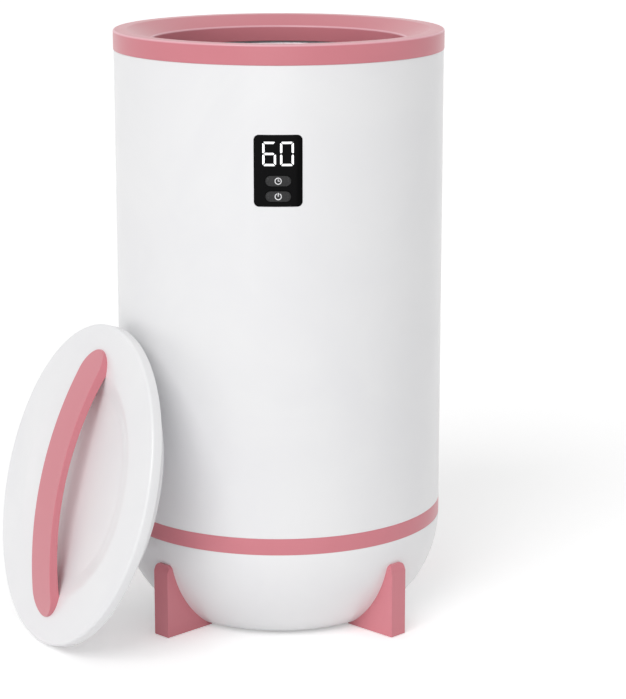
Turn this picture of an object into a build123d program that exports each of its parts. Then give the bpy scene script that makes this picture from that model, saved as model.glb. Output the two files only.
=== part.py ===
"""Towel warmer bucket: a heated, insulated bucket on four fin feet, with its lid leaning beside it.

Millimetres, +Z up. The origin is on the floor, under the bucket's axis. The control panel faces -Y.
Heights are called low and high or end in _z, and radii are measured from the axis of their own part.
"""
from build123d import *
import os
from math import asin, cos, radians, sin, sqrt

# Driving dimensions -----------------------------------------------------------------------------
total_height = 542.0
shell_radius = 149.5
shell_wall = 2.5
fit_gap = 0.2            # between two fixed pieces that slide together
seat_gap = 0.3           # between pieces that must stay clear of each other
screw_gap = 0.4          # added to a shank's diameter where the screw only passes through

# Rim ring at the mouth
rim_proud = 0.5          # beyond the shell
rim_height = 17.6
rim_wall = 2.8
rim_lip_width = 12.6
rim_edge_round = 3.0
rim_lip_round = 1.6
mouth_inset = 33.5       # from the shell's face in to the throat
mouth_drop = 9.4         # from the lip down to the throat
skirt_depth = 23.5       # from the lip down to the end of the throat
skirt_wall = 2.6
skirt_flange_width = 8.0
skirt_flange_thickness = 2.0
spigot_height = 6.6

# Inner liner and its gasket
liner_setback = 1.0      # of the liner's wall behind the throat
liner_wall = 1.2
liner_bottom_z = 110.0   # underside
liner_corner = 12.0
liner_lip_round = 1.0
gasket_thickness = 1.5
ledge_thickness = 3.0
ledge_width = 18.0
ledge_taper = 2.8

# Heater and insulation
film_thickness = 1.2
film_low_z = 150.0
film_top_drop = 92.0     # from the rim's lip
film_seam_angle = 6.0
wrap_gap = 0.1           # between the film and the felt wrapped around it
jacket_thickness = 10.0
jacket_top_gap = 12.0    # below the ledge
jacket_seam_angle = 12.0
base_pad_thickness = 1.5
base_pad_hole_radius = 24.0
sensor_pocket_radius = 32.0
heater_terminal_size = (16.0, 7.0, 18.0)
heater_terminal_low_z = 141.0

# Accent band, chassis plate and lower bowl
band_low_z = 90.2
band_height = 15.0
tongue_height = 6.0
tongue_wall = 2.5
band_flange_width = 13.0
band_flange_thickness = 3.0
chassis_thickness = 3.0
chassis_rise = 3.0       # from the bowl's seam up to the chassis plate
chassis_rib_radius = 103.0
chassis_rib_depth = 7.0
chassis_rib_wall = 3.0
bowl_wall = 2.6
bowl_arc_radius = 105.0
bowl_floor_z = 2.5
bowl_edge_round = 6.0

# Screws: shank diameter, shank length, head diameter, head height
rim_screw = (3.0, 15.0, 6.0, 2.2)
chassis_screw = (4.0, 18.0, 8.0, 2.6)
base_screw = (4.0, 30.0, 8.0, 3.0)
foot_screw = (3.0, 12.0, 6.0, 2.2)
board_screw = (3.0, 8.0, 6.0, 2.0)
display_screw = (2.5, 5.5, 5.0, 2.0)
lid_screw = (3.0, 6.0, 6.0, 1.6)
handle_screw = (4.0, 6.0, 8.0, 2.2)

rim_screw_count = 6
rim_screw_inset = 13.0   # from the spigot's inner face
chassis_screw_count = 6
chassis_screw_inset = 9.0  # from the shell's inner face
screw_boss_wall = 3.0
chassis_boss_top_z = 126.0
boss_web_width = 3.0
base_screw_count = 4
base_screw_radius = 75.0
tower_top_z = 80.0
tower_seat_z = 62.0
tower_wall = 2.0

# Feet
foot_count = 4
foot_proud = 3.1         # beyond the shell
foot_length = 55.0
foot_angle = 45.0        # of the first foot, from +X
foot_width = 18.0
foot_shoulder_z = 61.0
foot_top_z = 68.0
foot_top_setback = 2.8
foot_edge_round = 1.2
foot_screw_heights = (26.0, 45.0)
foot_boss_depth = 6.0
pad_thickness = 1.6
pad_recess = 1.2
pad_width = 12.0
pad_margin = 5.0         # from the ends of the foot

# Cord gland at the back of the bowl
gland_z = 60.0
gland_bore_radius = 3.3
gland_shank_radius = 6.0
gland_flange_radius = 10.0
gland_flange_thickness = 3.0
gland_tail_radius = 5.6
gland_tail_length = 10.0
gland_inner_length = 18.0
gland_pad_radius = 12.0
gland_pad_depth = 10.6
gland_pad_inset = 0.9     # of the pad's face from the shell's
gland_nut_width = 18.0
gland_nut_thickness = 5.0

# Power board in the bowl
board_length = 100.0
board_width = 70.0
board_thickness = 1.6
board_corner = 3.0
standoff_height = 10.0
standoff_inset = 6.0
transformer_size = (30.0, 26.0, 24.0)
transformer_place = (-28.0, 8.0)
relay_size = (20.0, 16.0, 16.0)
relay_place = (28.0, 14.0)
capacitor_radius = 5.0
capacitor_height = 18.0
capacitor_places = ((24.0, -14.0), (38.0, -14.0))
terminal_size = (24.0, 10.0, 11.0)
plug_size = (14.0, 8.0, 8.0)
part_edge_inset = 1.0    # from the board's edge to the plug and the terminal block

# Thermostat and thermal fuse
thermostat_radius = 8.0
thermostat_cap_radius = 9.0
thermostat_cap_height = 2.0
thermostat_height = 8.0
blade_size = (4.0, 7.0, 0.8)
blade_root = 1.0         # of the blade inside the thermostat's body
blade_rise = 1.2
bracket_width = 9.0
bracket_span = 44.0
bracket_foot = 6.0
bracket_thickness = 1.0
fuse_radius = 2.0
fuse_length = 12.0
fuse_y = 19.0
cushion_size = (10.0, 6.4)

# Leads
sensor_lead_radius = 0.8
heater_lead_radius = 1.2
heater_lead_pitch = 8.0
cable_radius = 2.0
cable_inset = 8.5        # from the shell's face
cable_swing = 36.0       # inward, below the chassis plate
cable_dip_z = 50.0
cable_bends = (30, 30, 24, 60, 20)
heater_lead_swing = 30.0
heater_lead_dip_z = 48.0
heater_lead_bends = (22, 30, 18)
route_drop = 12.0        # straight run below the chassis plate
route_run_in = 28.0      # straight run up to a connector
cable_clip_count = 3
cable_clip_low_z = 160.0
cable_clip_pitch = 90.0
cable_clip_size = (10.0, 8.0)
clip_wall = 1.5

# Control panel
panel_width = 41.6
panel_height = 61.8
panel_corner = 4.3
panel_drop = 107.6       # from the rim's lip to the panel's middle
panel_proud = 0.2
holder_overlap = 6.2     # of the holder behind the shell, on each side of the window
holder_lip = 2.8         # of the holder behind the window's own edge
holder_thickness = 2.5
light_box_wall = 1.8
light_box_margin = 4.2
display_board_inset = 10.9  # of its front from the shell's face
display_board_size = (70.0, 74.0)
display_boss_place = (31.0, 31.0)
digit_height = 21.4
digit_width = 13.1
digit_pitch = 15.8
digit_rise = 14.7        # above the panel's middle
segment_width = 2.6
segment_gap = 0.5
module_size = (31.0, 6.8, 25.0)

# Push buttons on the panel
button_length = 22.0
button_height = 9.3
timer_button_drop = 8.7  # below the panel's middle
power_button_drop = 22.1
button_clearance = 0.35
button_proud = 0.3       # beyond the window
button_flange = 1.3
button_flange_inset = 5.1   # of its back from the shell's face
button_travel = 0.6
stem_radius = 2.0
icon_radius = 3.1
icon_stroke = 1.0
icon_depth = 0.4
switch_size = (6.0, 3.4, 6.0)
plunger_radius = 1.7
plunger_height = 0.8

# Lid, in its own frame: +Z leaves the outer face, which is at height 0
lid_inset = 3.8          # from the rim's radius
lid_thickness = 10.0
lid_wall = 2.5
lid_edge_round = 4.5
lid_back_round = 1.0
dish_depth = 3.5
dish_radius = 106.0
dish_floor_radius = 84.0
plug_gap = 1.0           # all round, inside the throat
plug_depth = 20.0
plug_wall = 2.5
plug_round = 3.0
plug_flange_thickness = 2.0
seal_depth = 8.0
seal_width = 3.8
lid_screw_count = 6
lid_screw_angle = 30.0   # of the first screw, from the lid's own X
handle_length = 246.0
handle_width = 40.0
handle_rise = 23.2
handle_thickness = 6.4
handle_tip_rise = 1.6
handle_grip_length = 200.0
handle_edge_round = 1.2
handle_screw_reach = 111.0

# How the lid leans on the bucket
lean_bearing = 208.2     # direction from the bucket's axis to the lid, from +X
lean_tilt = 16.6         # of the lid's face, back from upright
lid_turn = 5.0           # of the handle, off the steepest line
lean_gap = 0.8           # between the plug's edge and the shell
floor_gap = 0.3

# Places worked out from the dimensions ------------------------------------------------------------
rim_radius = shell_radius + rim_proud
mouth_radius = shell_radius - mouth_inset
liner_radius = mouth_radius + liner_setback
rim_low_z = total_height - rim_height
throat_z = total_height - mouth_drop
skirt_end_z = total_height - skirt_depth
flange_top_z = skirt_end_z - gasket_thickness
ledge_top_z = flange_top_z - liner_wall
ledge_low_z = ledge_top_z - ledge_thickness
shell_inner = shell_radius - shell_wall
rim_wall_inner = rim_radius - rim_wall
spigot_radius = rim_wall_inner - fit_gap
spigot_inner = spigot_radius - shell_wall
rim_screw_radius = spigot_inner - rim_screw_inset
chassis_screw_radius = shell_inner - chassis_screw_inset
liner_outer = liner_radius + liner_wall
film_high_z = total_height - film_top_drop
film_outer = liner_outer + film_thickness
jacket_inner = film_outer + wrap_gap
jacket_outer = jacket_inner + jacket_thickness
jacket_high_z = ledge_low_z - jacket_top_gap
band_high_z = band_low_z + band_height
chassis_z = band_low_z + chassis_rise
chassis_top_z = chassis_z + chassis_thickness
bowl_centre_radius = shell_radius - bowl_arc_radius
bowl_tongue_inner = bowl_centre_radius + sqrt((bowl_arc_radius - bowl_wall) ** 2 - tongue_height ** 2)
tongue_radius = min(shell_inner, bowl_tongue_inner) - fit_gap
band_inner = tongue_radius - tongue_wall
chassis_radius = band_inner - seat_gap
bowl_floor_top = bowl_floor_z + bowl_wall
board_z = bowl_floor_top + standoff_height
board_top = board_z + board_thickness
foot_outer_radius = shell_radius + foot_proud
foot_inner_radius = foot_outer_radius - foot_length
foot_top_radius = foot_outer_radius - foot_top_setback
foot_bottom_z = pad_thickness - pad_recess
gland_pad_outer_y = shell_radius - gland_pad_inset
gland_pad_inner_y = gland_pad_outer_y - gland_pad_depth
cable_y = cable_inset - shell_radius
panel_z = total_height - panel_drop
digit_z = panel_z + digit_rise
timer_button_z = panel_z - timer_button_drop
power_button_z = panel_z - power_button_drop
button_heights = {"timer": timer_button_z, "power": power_button_z}
display_board_y = display_board_inset - shell_radius
button_flange_back_y = button_flange_inset - shell_radius
window_radius = shell_radius + panel_proud
button_face_radius = window_radius + button_proud
holder_inner = shell_inner - holder_thickness
switch_face_y = display_board_y - switch_size[1]
plunger_y = switch_face_y - plunger_height
display_back_y = display_board_y + board_thickness
lid_radius = rim_radius - lid_inset
plug_radius = mouth_radius - plug_gap
plug_flange_radius = lid_radius - lid_wall - fit_gap
lid_screw_radius = (plug_radius + plug_flange_radius) / 2


# Shared shapes ------------------------------------------------------------------------------------
def tube(outer, inner, low, high):
    """Round wall about the Z axis."""
    return Pos(0, 0, low) * extrude(Circle(outer) - Circle(inner), high - low)


def rod(radius, low, high):
    """Round bar along the Z axis."""
    return Pos(0, 0, low) * extrude(Circle(radius), high - low)


def block(size, low_centre):
    """Box of the given size on the point at the middle of its underside."""
    x, y, z = low_centre
    return Pos(x, y, z) * Box(*size, align=(Align.CENTER, Align.CENTER, Align.MIN))


def turned(points, radii=None):
    """Solid turned about the Z axis from an outline of radius and height."""
    if radii:
        outline = FilletPolyline(*points, radius=radii, close=True)
    else:
        outline = Polyline(*points, close=True)
    return revolve(Plane.XZ * make_face(outline), Axis.Z)


def along_y(sketch, low, high):
    """Prism of a front-view sketch between two depths."""
    return Pos(0, low, 0) * extrude(Plane.XZ * sketch, high - low, dir=(0, 1, 0))


def y_rod(radius, low, high, x=0.0, z=0.0):
    """Round bar along Y between two depths."""
    return along_y(Pos(x, z) * Circle(radius), low, high)


def ring_of(shape, count, first=0.0):
    """Copies of a shape, evenly spaced about the Z axis."""
    return [Rot(0, 0, first + 360 * index / count) * shape for index in range(count)]


def screw(size):
    """Pan-head screw whose head stands on height 0, with its shank below."""
    shank, length, head, rise = size
    body = rod(shank / 2, -length, 0) + rod(head / 2, 0, rise)
    top_edge = body.edges().group_by(Axis.Z)[-1]
    body = chamfer(top_edge, rise / 4)
    return body - Pos(0, 0, rise) * Box(head * 0.6, head * 0.12, rise)


def passage(size):
    """Diameter of a hole that a screw only passes through."""
    return size[0] + screw_gap


def cable(radius, points, bends):
    """Round lead along straight runs joined by tangent arcs."""
    path = FilletPolyline(*points, radius=bends)
    start = Plane(origin=points[0], z_dir=Vector(*points[1]) - Vector(*points[0]))
    return sweep(start * Circle(radius), path=path)


# Bucket shell and rim -----------------------------------------------------------------------------
def rim_slope(radius, drop):
    """Height of the rim's sloping face at a radius, lowered by drop."""
    lip_inner = rim_radius - rim_lip_width
    return total_height - drop - (lip_inner - radius) * mouth_drop / (lip_inner - mouth_radius)


def make_rim_ring():
    lip_inner = rim_radius - rim_lip_width
    skirt_outer = mouth_radius + skirt_wall
    points = [
        (rim_radius, rim_low_z), (rim_radius, total_height), (lip_inner, total_height),
        (mouth_radius, throat_z), (mouth_radius, skirt_end_z),
        (mouth_radius + skirt_flange_width, skirt_end_z),
        (mouth_radius + skirt_flange_width, skirt_end_z + skirt_flange_thickness),
        (skirt_outer, skirt_end_z + skirt_flange_thickness),
        (skirt_outer, rim_slope(skirt_outer, rim_wall)), (lip_inner, total_height - rim_wall),
        (rim_wall_inner, total_height - rim_wall), (rim_wall_inner, rim_low_z)]
    radii = [0, rim_edge_round, rim_lip_round, rim_lip_round, 0, 0, 0, 0, 0, 0, 0, 0]
    ring = turned(points, radii)
    boss_radius = rim_screw[0] / 2 + screw_boss_wall
    top = rim_slope(rim_screw_radius - boss_radius, rim_wall / 2)
    boss = rod(boss_radius, flange_top_z, total_height)
    under = turned([
        (rim_screw_radius - 2 * boss_radius, flange_top_z),
        (rim_screw_radius - 2 * boss_radius, rim_slope(rim_screw_radius - 2 * boss_radius, rim_wall / 2)),
        (lip_inner, total_height - rim_wall / 2), (rim_wall_inner, total_height - rim_wall / 2),
        (rim_wall_inner, flange_top_z)])
    bosses = [shape & under for shape in ring_of(Pos(rim_screw_radius, 0, 0) * boss, rim_screw_count)]
    pilot = Pos(rim_screw_radius, 0, 0) * rod(rim_screw[0] / 2, flange_top_z, top - rim_wall / 2)
    return ring + bosses - ring_of(pilot, rim_screw_count)


def make_outer_shell():
    ledge_inner = spigot_inner - ledge_width
    shell = turned([
        (shell_radius, band_high_z), (shell_radius, rim_low_z), (spigot_radius, rim_low_z),
        (spigot_radius, rim_low_z + spigot_height), (spigot_inner, rim_low_z + spigot_height),
        (spigot_inner, ledge_top_z), (ledge_inner, ledge_top_z), (ledge_inner, ledge_low_z),
        (spigot_inner, ledge_low_z), (shell_inner, ledge_low_z - ledge_taper), (shell_inner, band_high_z)])
    hole = Pos(rim_screw_radius, 0, 0) * rod(passage(rim_screw) / 2, ledge_low_z, ledge_top_z)
    shell -= ring_of(hole, rim_screw_count)
    boss_radius = chassis_screw[0] / 2 + screw_boss_wall
    boss = Pos(chassis_screw_radius, 0, 0) * rod(boss_radius, band_flange_top(), chassis_boss_top_z)
    web_low = band_high_z + tongue_height + seat_gap
    web = Pos((chassis_screw_radius + shell_inner + fit_gap) / 2, 0, web_low) * Box(
        shell_inner + fit_gap - chassis_screw_radius, boss_web_width, chassis_boss_top_z - web_low,
        align=(Align.CENTER, Align.CENTER, Align.MIN))
    pilot_top = chassis_z + chassis_screw[1]
    pilot = Pos(chassis_screw_radius, 0, 0) * rod(chassis_screw[0] / 2, band_flange_top(), pilot_top)
    shell += ring_of(boss + web, chassis_screw_count)
    shell -= ring_of(pilot, chassis_screw_count)
    opening = rounded_window(panel_width + 2 * fit_gap, panel_height + 2 * fit_gap, panel_corner + fit_gap)
    shell -= along_y(opening, -shell_radius - shell_wall, -shell_radius / 2)
    for x, z in display_boss_centres():
        post_radius = display_screw[0] / 2 + screw_boss_wall * 0.75
        post = y_rod(post_radius, -shell_radius, display_board_y, x, z)
        shell += post & rod(shell_inner + fit_gap, z - 2 * post_radius, z + 2 * post_radius)
        shell -= y_rod(display_screw[0] / 2, display_back_y - display_screw[1], display_board_y, x, z)
    return shell


def make_inner_liner():
    flange_radius = spigot_inner - seat_gap
    points = [
        (0, liner_bottom_z), (liner_outer, liner_bottom_z), (liner_outer, ledge_top_z),
        (flange_radius, ledge_top_z), (flange_radius, flange_top_z), (liner_radius, flange_top_z),
        (liner_radius, liner_bottom_z + liner_wall), (0, liner_bottom_z + liner_wall)]
    radii = [0, liner_corner, 0, 0, 0, liner_lip_round, liner_corner - liner_wall, 0]
    liner = turned(points, radii)
    hole = Pos(rim_screw_radius, 0, 0) * rod(passage(rim_screw) / 2, ledge_top_z, flange_top_z)
    return liner - ring_of(hole, rim_screw_count)


def make_liner_gasket():
    inner = liner_radius + liner_lip_round + fit_gap
    return tube(mouth_radius + skirt_flange_width, inner, flange_top_z, skirt_end_z)


def make_rim_screws():
    one = Pos(rim_screw_radius, 0, ledge_low_z) * Rot(180, 0, 0) * screw(rim_screw)
    return ring_of(one, rim_screw_count)


# Heater and insulation ----------------------------------------------------------------------------
def seam_cut(angle, middle, low, high):
    """Wedge that opens a wrapped sheet at its seam."""
    reach = 2 * shell_radius
    half = angle / 2
    corner_x, corner_y = reach * cos(radians(half)), reach * sin(radians(half))
    wedge = Polygon((0, 0), (corner_x, -corner_y), (corner_x, corner_y), align=None)
    return Rot(0, 0, middle) * Pos(0, 0, low) * extrude(wedge, high - low, dir=(0, 0, 1))


def make_heater_film():
    film = tube(film_outer, liner_outer, film_low_z, film_high_z)
    tab_low = heater_terminal_low_z - 1.0
    tab = tube(film_outer, liner_outer, tab_low, film_low_z)
    keep = block((heater_terminal_size[0] + 4, shell_radius, film_low_z - tab_low),
                 (0, shell_radius / 2, tab_low))
    return film - seam_cut(film_seam_angle, -90, film_low_z, film_high_z) + (tab & keep)


def make_heater_base_pad():
    pad_radius = liner_outer - liner_corner
    return tube(pad_radius, base_pad_hole_radius, liner_bottom_z - base_pad_thickness, liner_bottom_z)


def make_heater_terminal():
    width, depth, height = heater_terminal_size
    body = block((width, 2 * depth, height), (0, film_outer, heater_terminal_low_z))
    return body - rod(film_outer, 0, total_height)


def make_insulation_jacket():
    jacket = tube(jacket_outer, jacket_inner, chassis_top_z, jacket_high_z)
    return jacket - seam_cut(jacket_seam_angle, 90, chassis_top_z, jacket_high_z)


def make_insulation_base():
    high = liner_bottom_z - base_pad_thickness
    return tube(jacket_inner - seat_gap, sensor_pocket_radius, chassis_top_z, high)


def make_thermostat():
    cap = rod(thermostat_cap_radius, liner_bottom_z - thermostat_cap_height, liner_bottom_z)
    body = rod(thermostat_radius, liner_bottom_z - thermostat_height, liner_bottom_z)
    blade_y = thermostat_radius + blade_size[1] / 2 - blade_root
    blade_z = liner_bottom_z - thermostat_height + blade_rise
    blades = [block(blade_size, (0, side * blade_y, blade_z)) for side in (-1, 1)]
    return cap + body + blades


def make_thermostat_bracket():
    top = liner_bottom_z - thermostat_height
    strip = block((bracket_span, bracket_width, bracket_thickness), (0, 0, top - bracket_thickness))
    for side in (-1, 1):
        leg_x = side * (bracket_span - bracket_thickness) / 2
        strip += block((bracket_thickness, bracket_width, top - chassis_top_z), (leg_x, 0, chassis_top_z))
        foot_x = side * (bracket_span + bracket_foot) / 2
        strip += block((bracket_foot, bracket_width, bracket_thickness), (foot_x, 0, chassis_top_z))
    return strip


def fuse_shape(radius, length):
    return Pos(0, fuse_y, liner_bottom_z - fuse_radius) * Rot(0, 90, 0) * Cylinder(radius, length)


def make_thermal_fuse():
    return fuse_shape(fuse_radius, fuse_length)


def make_fuse_cushion():
    height = liner_bottom_z - fuse_radius - chassis_top_z
    cushion = block((*cushion_size, height), (0, fuse_y, chassis_top_z))
    return cushion - fuse_shape(fuse_radius, fuse_length)


# Band, chassis and bowl ---------------------------------------------------------------------------
def band_flange_top():
    return chassis_top_z + band_flange_thickness


def make_accent_band():
    band = tube(shell_radius, band_inner, band_low_z, band_high_z)
    tongue = tube(tongue_radius, band_inner, band_low_z - tongue_height, band_high_z + tongue_height)
    flange = tube(band_inner + fit_gap, band_inner - band_flange_width, chassis_top_z, band_flange_top())
    hole = Pos(chassis_screw_radius, 0, 0) * rod(passage(chassis_screw) / 2, chassis_top_z, band_flange_top())
    flange -= ring_of(hole, chassis_screw_count)
    flange -= cable_notch(chassis_top_z, band_flange_top())
    return band + tongue + flange


def cable_notch(low, high):
    """Slot for the display cable, just inside the band."""
    half = cable_radius + 1.0
    reach = band_inner - seat_gap
    length = reach + cable_y + half
    return block((2 * half, length, high - low), (0, length / 2 - reach, low))


def make_chassis_plate():
    plate = rod(chassis_radius, chassis_z, chassis_top_z)
    plate += tube(chassis_rib_radius, chassis_rib_radius - chassis_rib_wall, chassis_z - chassis_rib_depth,
                  chassis_z)
    hole = Pos(chassis_screw_radius, 0, 0) * rod(passage(chassis_screw) / 2, chassis_z, chassis_top_z)
    plate -= ring_of(hole, chassis_screw_count)
    plate -= cable_notch(chassis_z, chassis_top_z)
    boss = Pos(base_screw_radius, 0, 0) * rod(base_screw[0] / 2 + screw_boss_wall, tower_top_z, chassis_z)
    pilot = Pos(base_screw_radius, 0, 0) * rod(base_screw[0] / 2, tower_top_z, tower_seat_z + base_screw[1])
    plate += ring_of(boss, base_screw_count, foot_angle)
    plate -= ring_of(pilot, base_screw_count, foot_angle)
    slot = (heater_lead_pitch + 4 * heater_lead_radius, 4 * heater_lead_radius, chassis_thickness)
    plate -= block(slot, (0, heater_lead_y(), chassis_z))
    for side in (-1, 1):
        plate -= Pos(0, side * sensor_lead_y(), 0) * rod(2 * sensor_lead_radius, chassis_z, chassis_top_z)
    return plate


def make_chassis_screws():
    one = Pos(chassis_screw_radius, 0, chassis_z) * Rot(180, 0, 0) * screw(chassis_screw)
    return ring_of(one, chassis_screw_count)


def bowl_radius(height, inset=0.0):
    """Radius of the bowl's curved wall at a height, set in by inset."""
    return bowl_centre_radius + sqrt((bowl_arc_radius - inset) ** 2 - (band_low_z - height) ** 2)


def bowl_body(low, inset=0.0):
    """Everything inside the bowl's curved wall, from a height up to its seam."""
    arc_radius = bowl_arc_radius - inset
    middle = asin((band_low_z - low) / arc_radius) / 2
    seam = (bowl_centre_radius + arc_radius, band_low_z)
    start = (bowl_radius(low, inset), low)
    between = (bowl_centre_radius + arc_radius * cos(middle), band_low_z - arc_radius * sin(middle))
    outline = [Line((0, low), start), ThreePointArc(start, between, seam),
               Line(seam, (0, band_low_z)), Line((0, band_low_z), (0, low))]
    return revolve(Plane.XZ * make_face(outline), Axis.Z)


def make_bowl_envelope():
    body = bowl_body(bowl_floor_z)
    return fillet(body.edges().group_by(Axis.Z)[0], bowl_edge_round)


def make_lower_bowl(envelope):
    bowl = envelope - bowl_body(bowl_floor_top, bowl_wall)
    tower_radius = passage(base_screw) / 2 + screw_gap + tower_wall
    well_radius = base_screw[2] / 2 + screw_gap
    tower = rod(tower_radius, bowl_floor_z, tower_top_z)
    tower += rod(well_radius + tower_wall, bowl_floor_z, tower_seat_z + tower_wall)
    well = rod(well_radius, bowl_floor_z, tower_seat_z)
    well += rod(passage(base_screw) / 2, tower_seat_z, tower_top_z)
    tower, well = (Pos(base_screw_radius, 0, 0) * shape for shape in (tower, well))
    bowl += ring_of(tower, base_screw_count, foot_angle)
    bowl -= ring_of(well, base_screw_count, foot_angle)
    for x, y in board_hole_centres():
        bowl += Pos(x, y, 0) * rod(board_screw[0] / 2 + 2.0, bowl_floor_top, board_z)
        bowl -= Pos(x, y, 0) * rod(board_screw[0] / 2, board_top - board_screw[1], board_z)
    boss_radius = foot_screw[0] / 2 + screw_boss_wall
    for height in foot_screw_heights:
        outer = bowl_radius(height)
        boss = x_rod(boss_radius, foot_head_radius(height), outer, height) & envelope
        bowl += ring_of(boss, foot_count, foot_angle)
        hole = x_rod(passage(foot_screw) / 2, foot_head_radius(height), outer + boss_radius, height)
        bowl -= ring_of(hole, foot_count, foot_angle)
    bowl += y_rod(gland_pad_radius, gland_pad_inner_y, gland_pad_outer_y, 0, gland_z)
    bowl -= y_rod(gland_shank_radius + fit_gap, gland_pad_inner_y - 1, gland_pad_outer_y + 1, 0, gland_z)
    return bowl


def x_rod(radius, low, high, z):
    """Round bar along X between two radii."""
    return Pos(low, 0, z) * Rot(0, 90, 0) * extrude(Circle(radius), high - low)


def foot_head_radius(height):
    """Where the head of a foot's screw seats inside the bowl."""
    return bowl_radius(height, bowl_wall) - foot_boss_depth


def make_base_screws():
    one = Pos(base_screw_radius, 0, tower_seat_z) * Rot(180, 0, 0) * screw(base_screw)
    return ring_of(one, base_screw_count, foot_angle)


# Feet ---------------------------------------------------------------------------------------------
def make_foot(envelope):
    """One fin foot, standing along +X."""
    side = Polygon(
        (foot_inner_radius, foot_bottom_z), (foot_outer_radius, foot_bottom_z),
        (foot_outer_radius, foot_shoulder_z), (foot_top_radius, foot_top_z),
        (bowl_centre_radius, foot_top_z), (bowl_centre_radius, bowl_floor_z),
        (foot_inner_radius, bowl_floor_z), align=None)
    fin = along_y(side, -foot_width / 2, foot_width / 2)
    outer_edges = fin.edges().filter_by(Axis.Z).group_by(Axis.X)[-1]
    fin = fillet(outer_edges, foot_edge_round)
    fin -= envelope
    for height in foot_screw_heights:
        start = foot_head_radius(height)
        fin -= x_rod(foot_screw[0] / 2, start, start + foot_screw[1], height)
    return fin - pad_shape(foot_bottom_z)


def pad_shape(low):
    length = foot_outer_radius - foot_inner_radius - 2 * pad_margin
    middle = (foot_outer_radius + foot_inner_radius) / 2
    return Pos(middle, 0, low) * extrude(SlotOverall(length, pad_width), pad_thickness - low)


def make_foot_screws():
    screws = []
    for height in foot_screw_heights:
        one = Pos(foot_head_radius(height), 0, height) * Rot(0, -90, 0) * screw(foot_screw)
        screws += ring_of(one, foot_count, foot_angle)
    return screws


# Cord gland ---------------------------------------------------------------------------------------
def make_cord_gland():
    flange_end = gland_pad_outer_y + gland_flange_thickness
    body = y_rod(gland_shank_radius, gland_pad_outer_y - gland_inner_length, gland_pad_outer_y, 0, gland_z)
    body += y_rod(gland_flange_radius, gland_pad_outer_y, flange_end, 0, gland_z)
    body += y_rod(gland_tail_radius, flange_end, flange_end + gland_tail_length, 0, gland_z)
    return body - y_rod(gland_bore_radius, gland_pad_outer_y - gland_inner_length - 1,
                        flange_end + gland_tail_length + 1, 0, gland_z)


def make_gland_nut():
    hexagon = Pos(0, gland_z) * RegularPolygon(gland_nut_width / 2, 6, major_radius=False)
    nut = along_y(hexagon, gland_pad_inner_y - gland_nut_thickness, gland_pad_inner_y)
    return nut - y_rod(gland_shank_radius, gland_pad_inner_y - 2 * gland_nut_thickness,
                       gland_pad_inner_y + 1, 0, gland_z)


# Power board --------------------------------------------------------------------------------------
def board_hole_centres():
    x = board_length / 2 - standoff_inset
    y = board_width / 2 - standoff_inset
    return [(side_x * x, side_y * y) for side_x in (-1, 1) for side_y in (-1, 1)]


def make_power_board():
    board = Pos(0, 0, board_z) * extrude(RectangleRounded(board_length, board_width, board_corner),
                                         board_thickness)
    for x, y in board_hole_centres():
        board -= Pos(x, y, 0) * rod(passage(board_screw) / 2, board_z, board_top)
    return board


def make_board_screws():
    return [Pos(x, y, board_top) * screw(board_screw) for x, y in board_hole_centres()]


def make_transformer():
    length, width, height = transformer_size
    core = block((length * 0.45, width, height), (*transformer_place, board_top))
    bobbin = block((length, width * 0.8, height * 0.8), (*transformer_place, board_top))
    return core + bobbin


def make_relay():
    body = block(relay_size, (*relay_place, board_top))
    return fillet(body.edges().filter_by(Axis.Z), 1.0)


def make_capacitors():
    return [Pos(x, y, 0) * rod(capacitor_radius, board_top, board_top + capacitor_height)
            for x, y in capacitor_places]


def terminal_y():
    return board_width / 2 - part_edge_inset - terminal_size[1] / 2


def make_terminal_block():
    body = block(terminal_size, (0, terminal_y(), board_top))
    for side in (-1, 1):
        body -= Pos(side * heater_lead_pitch / 2, terminal_y(), 0) * rod(
            1.6, board_top + terminal_size[2] - 1.5, board_top + terminal_size[2])
    return body


# Leads --------------------------------------------------------------------------------------------
def sensor_lead_y():
    return thermostat_radius + blade_size[1] - 2.5


def heater_lead_y():
    return film_outer + heater_terminal_size[1] / 2


def make_sensor_leads():
    top = liner_bottom_z - thermostat_height + blade_rise
    return [Pos(0, side * sensor_lead_y(), 0) * rod(sensor_lead_radius, board_top, top) for side in (-1, 1)]


def make_heater_leads():
    leads = []
    end_y = terminal_y() + terminal_size[1] / 2
    end_z = board_top + terminal_size[2] / 2
    for side in (-1, 1):
        x = side * heater_lead_pitch / 2
        points = [
            (x, heater_lead_y(), heater_terminal_low_z), (x, heater_lead_y(), chassis_z - route_drop),
            (x, heater_lead_y() - heater_lead_swing, heater_lead_dip_z),
            (x, end_y + route_run_in, end_z), (x, end_y, end_z)]
        leads.append(cable(heater_lead_radius, points, heater_lead_bends))
    return leads


def plug_y():
    return -board_width / 2 + part_edge_inset + plug_size[1] / 2


def display_plug_z():
    return panel_z - display_board_size[1] / 2 + 6.0


def make_cable_plugs():
    lower = block(plug_size, (0, plug_y(), board_top))
    width, depth, height = plug_size[0], 5.0, plug_size[2]
    upper = block((width, depth, height), (0, display_back_y + depth / 2, display_plug_z()))
    return [lower, upper]


def make_display_cable():
    top_z = display_plug_z()
    end_y = plug_y() - plug_size[1] / 2
    end_z = board_top + plug_size[2] / 2
    points = [
        (0, display_back_y + 2.5, top_z), (0, display_back_y + 2.5, top_z - 18),
        (0, cable_y, top_z - 40), (0, cable_y, chassis_z - route_drop),
        (0, cable_y + cable_swing, cable_dip_z),
        (0, end_y - route_run_in, end_z), (0, end_y, end_z)]
    return cable(cable_radius, points, cable_bends)


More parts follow.
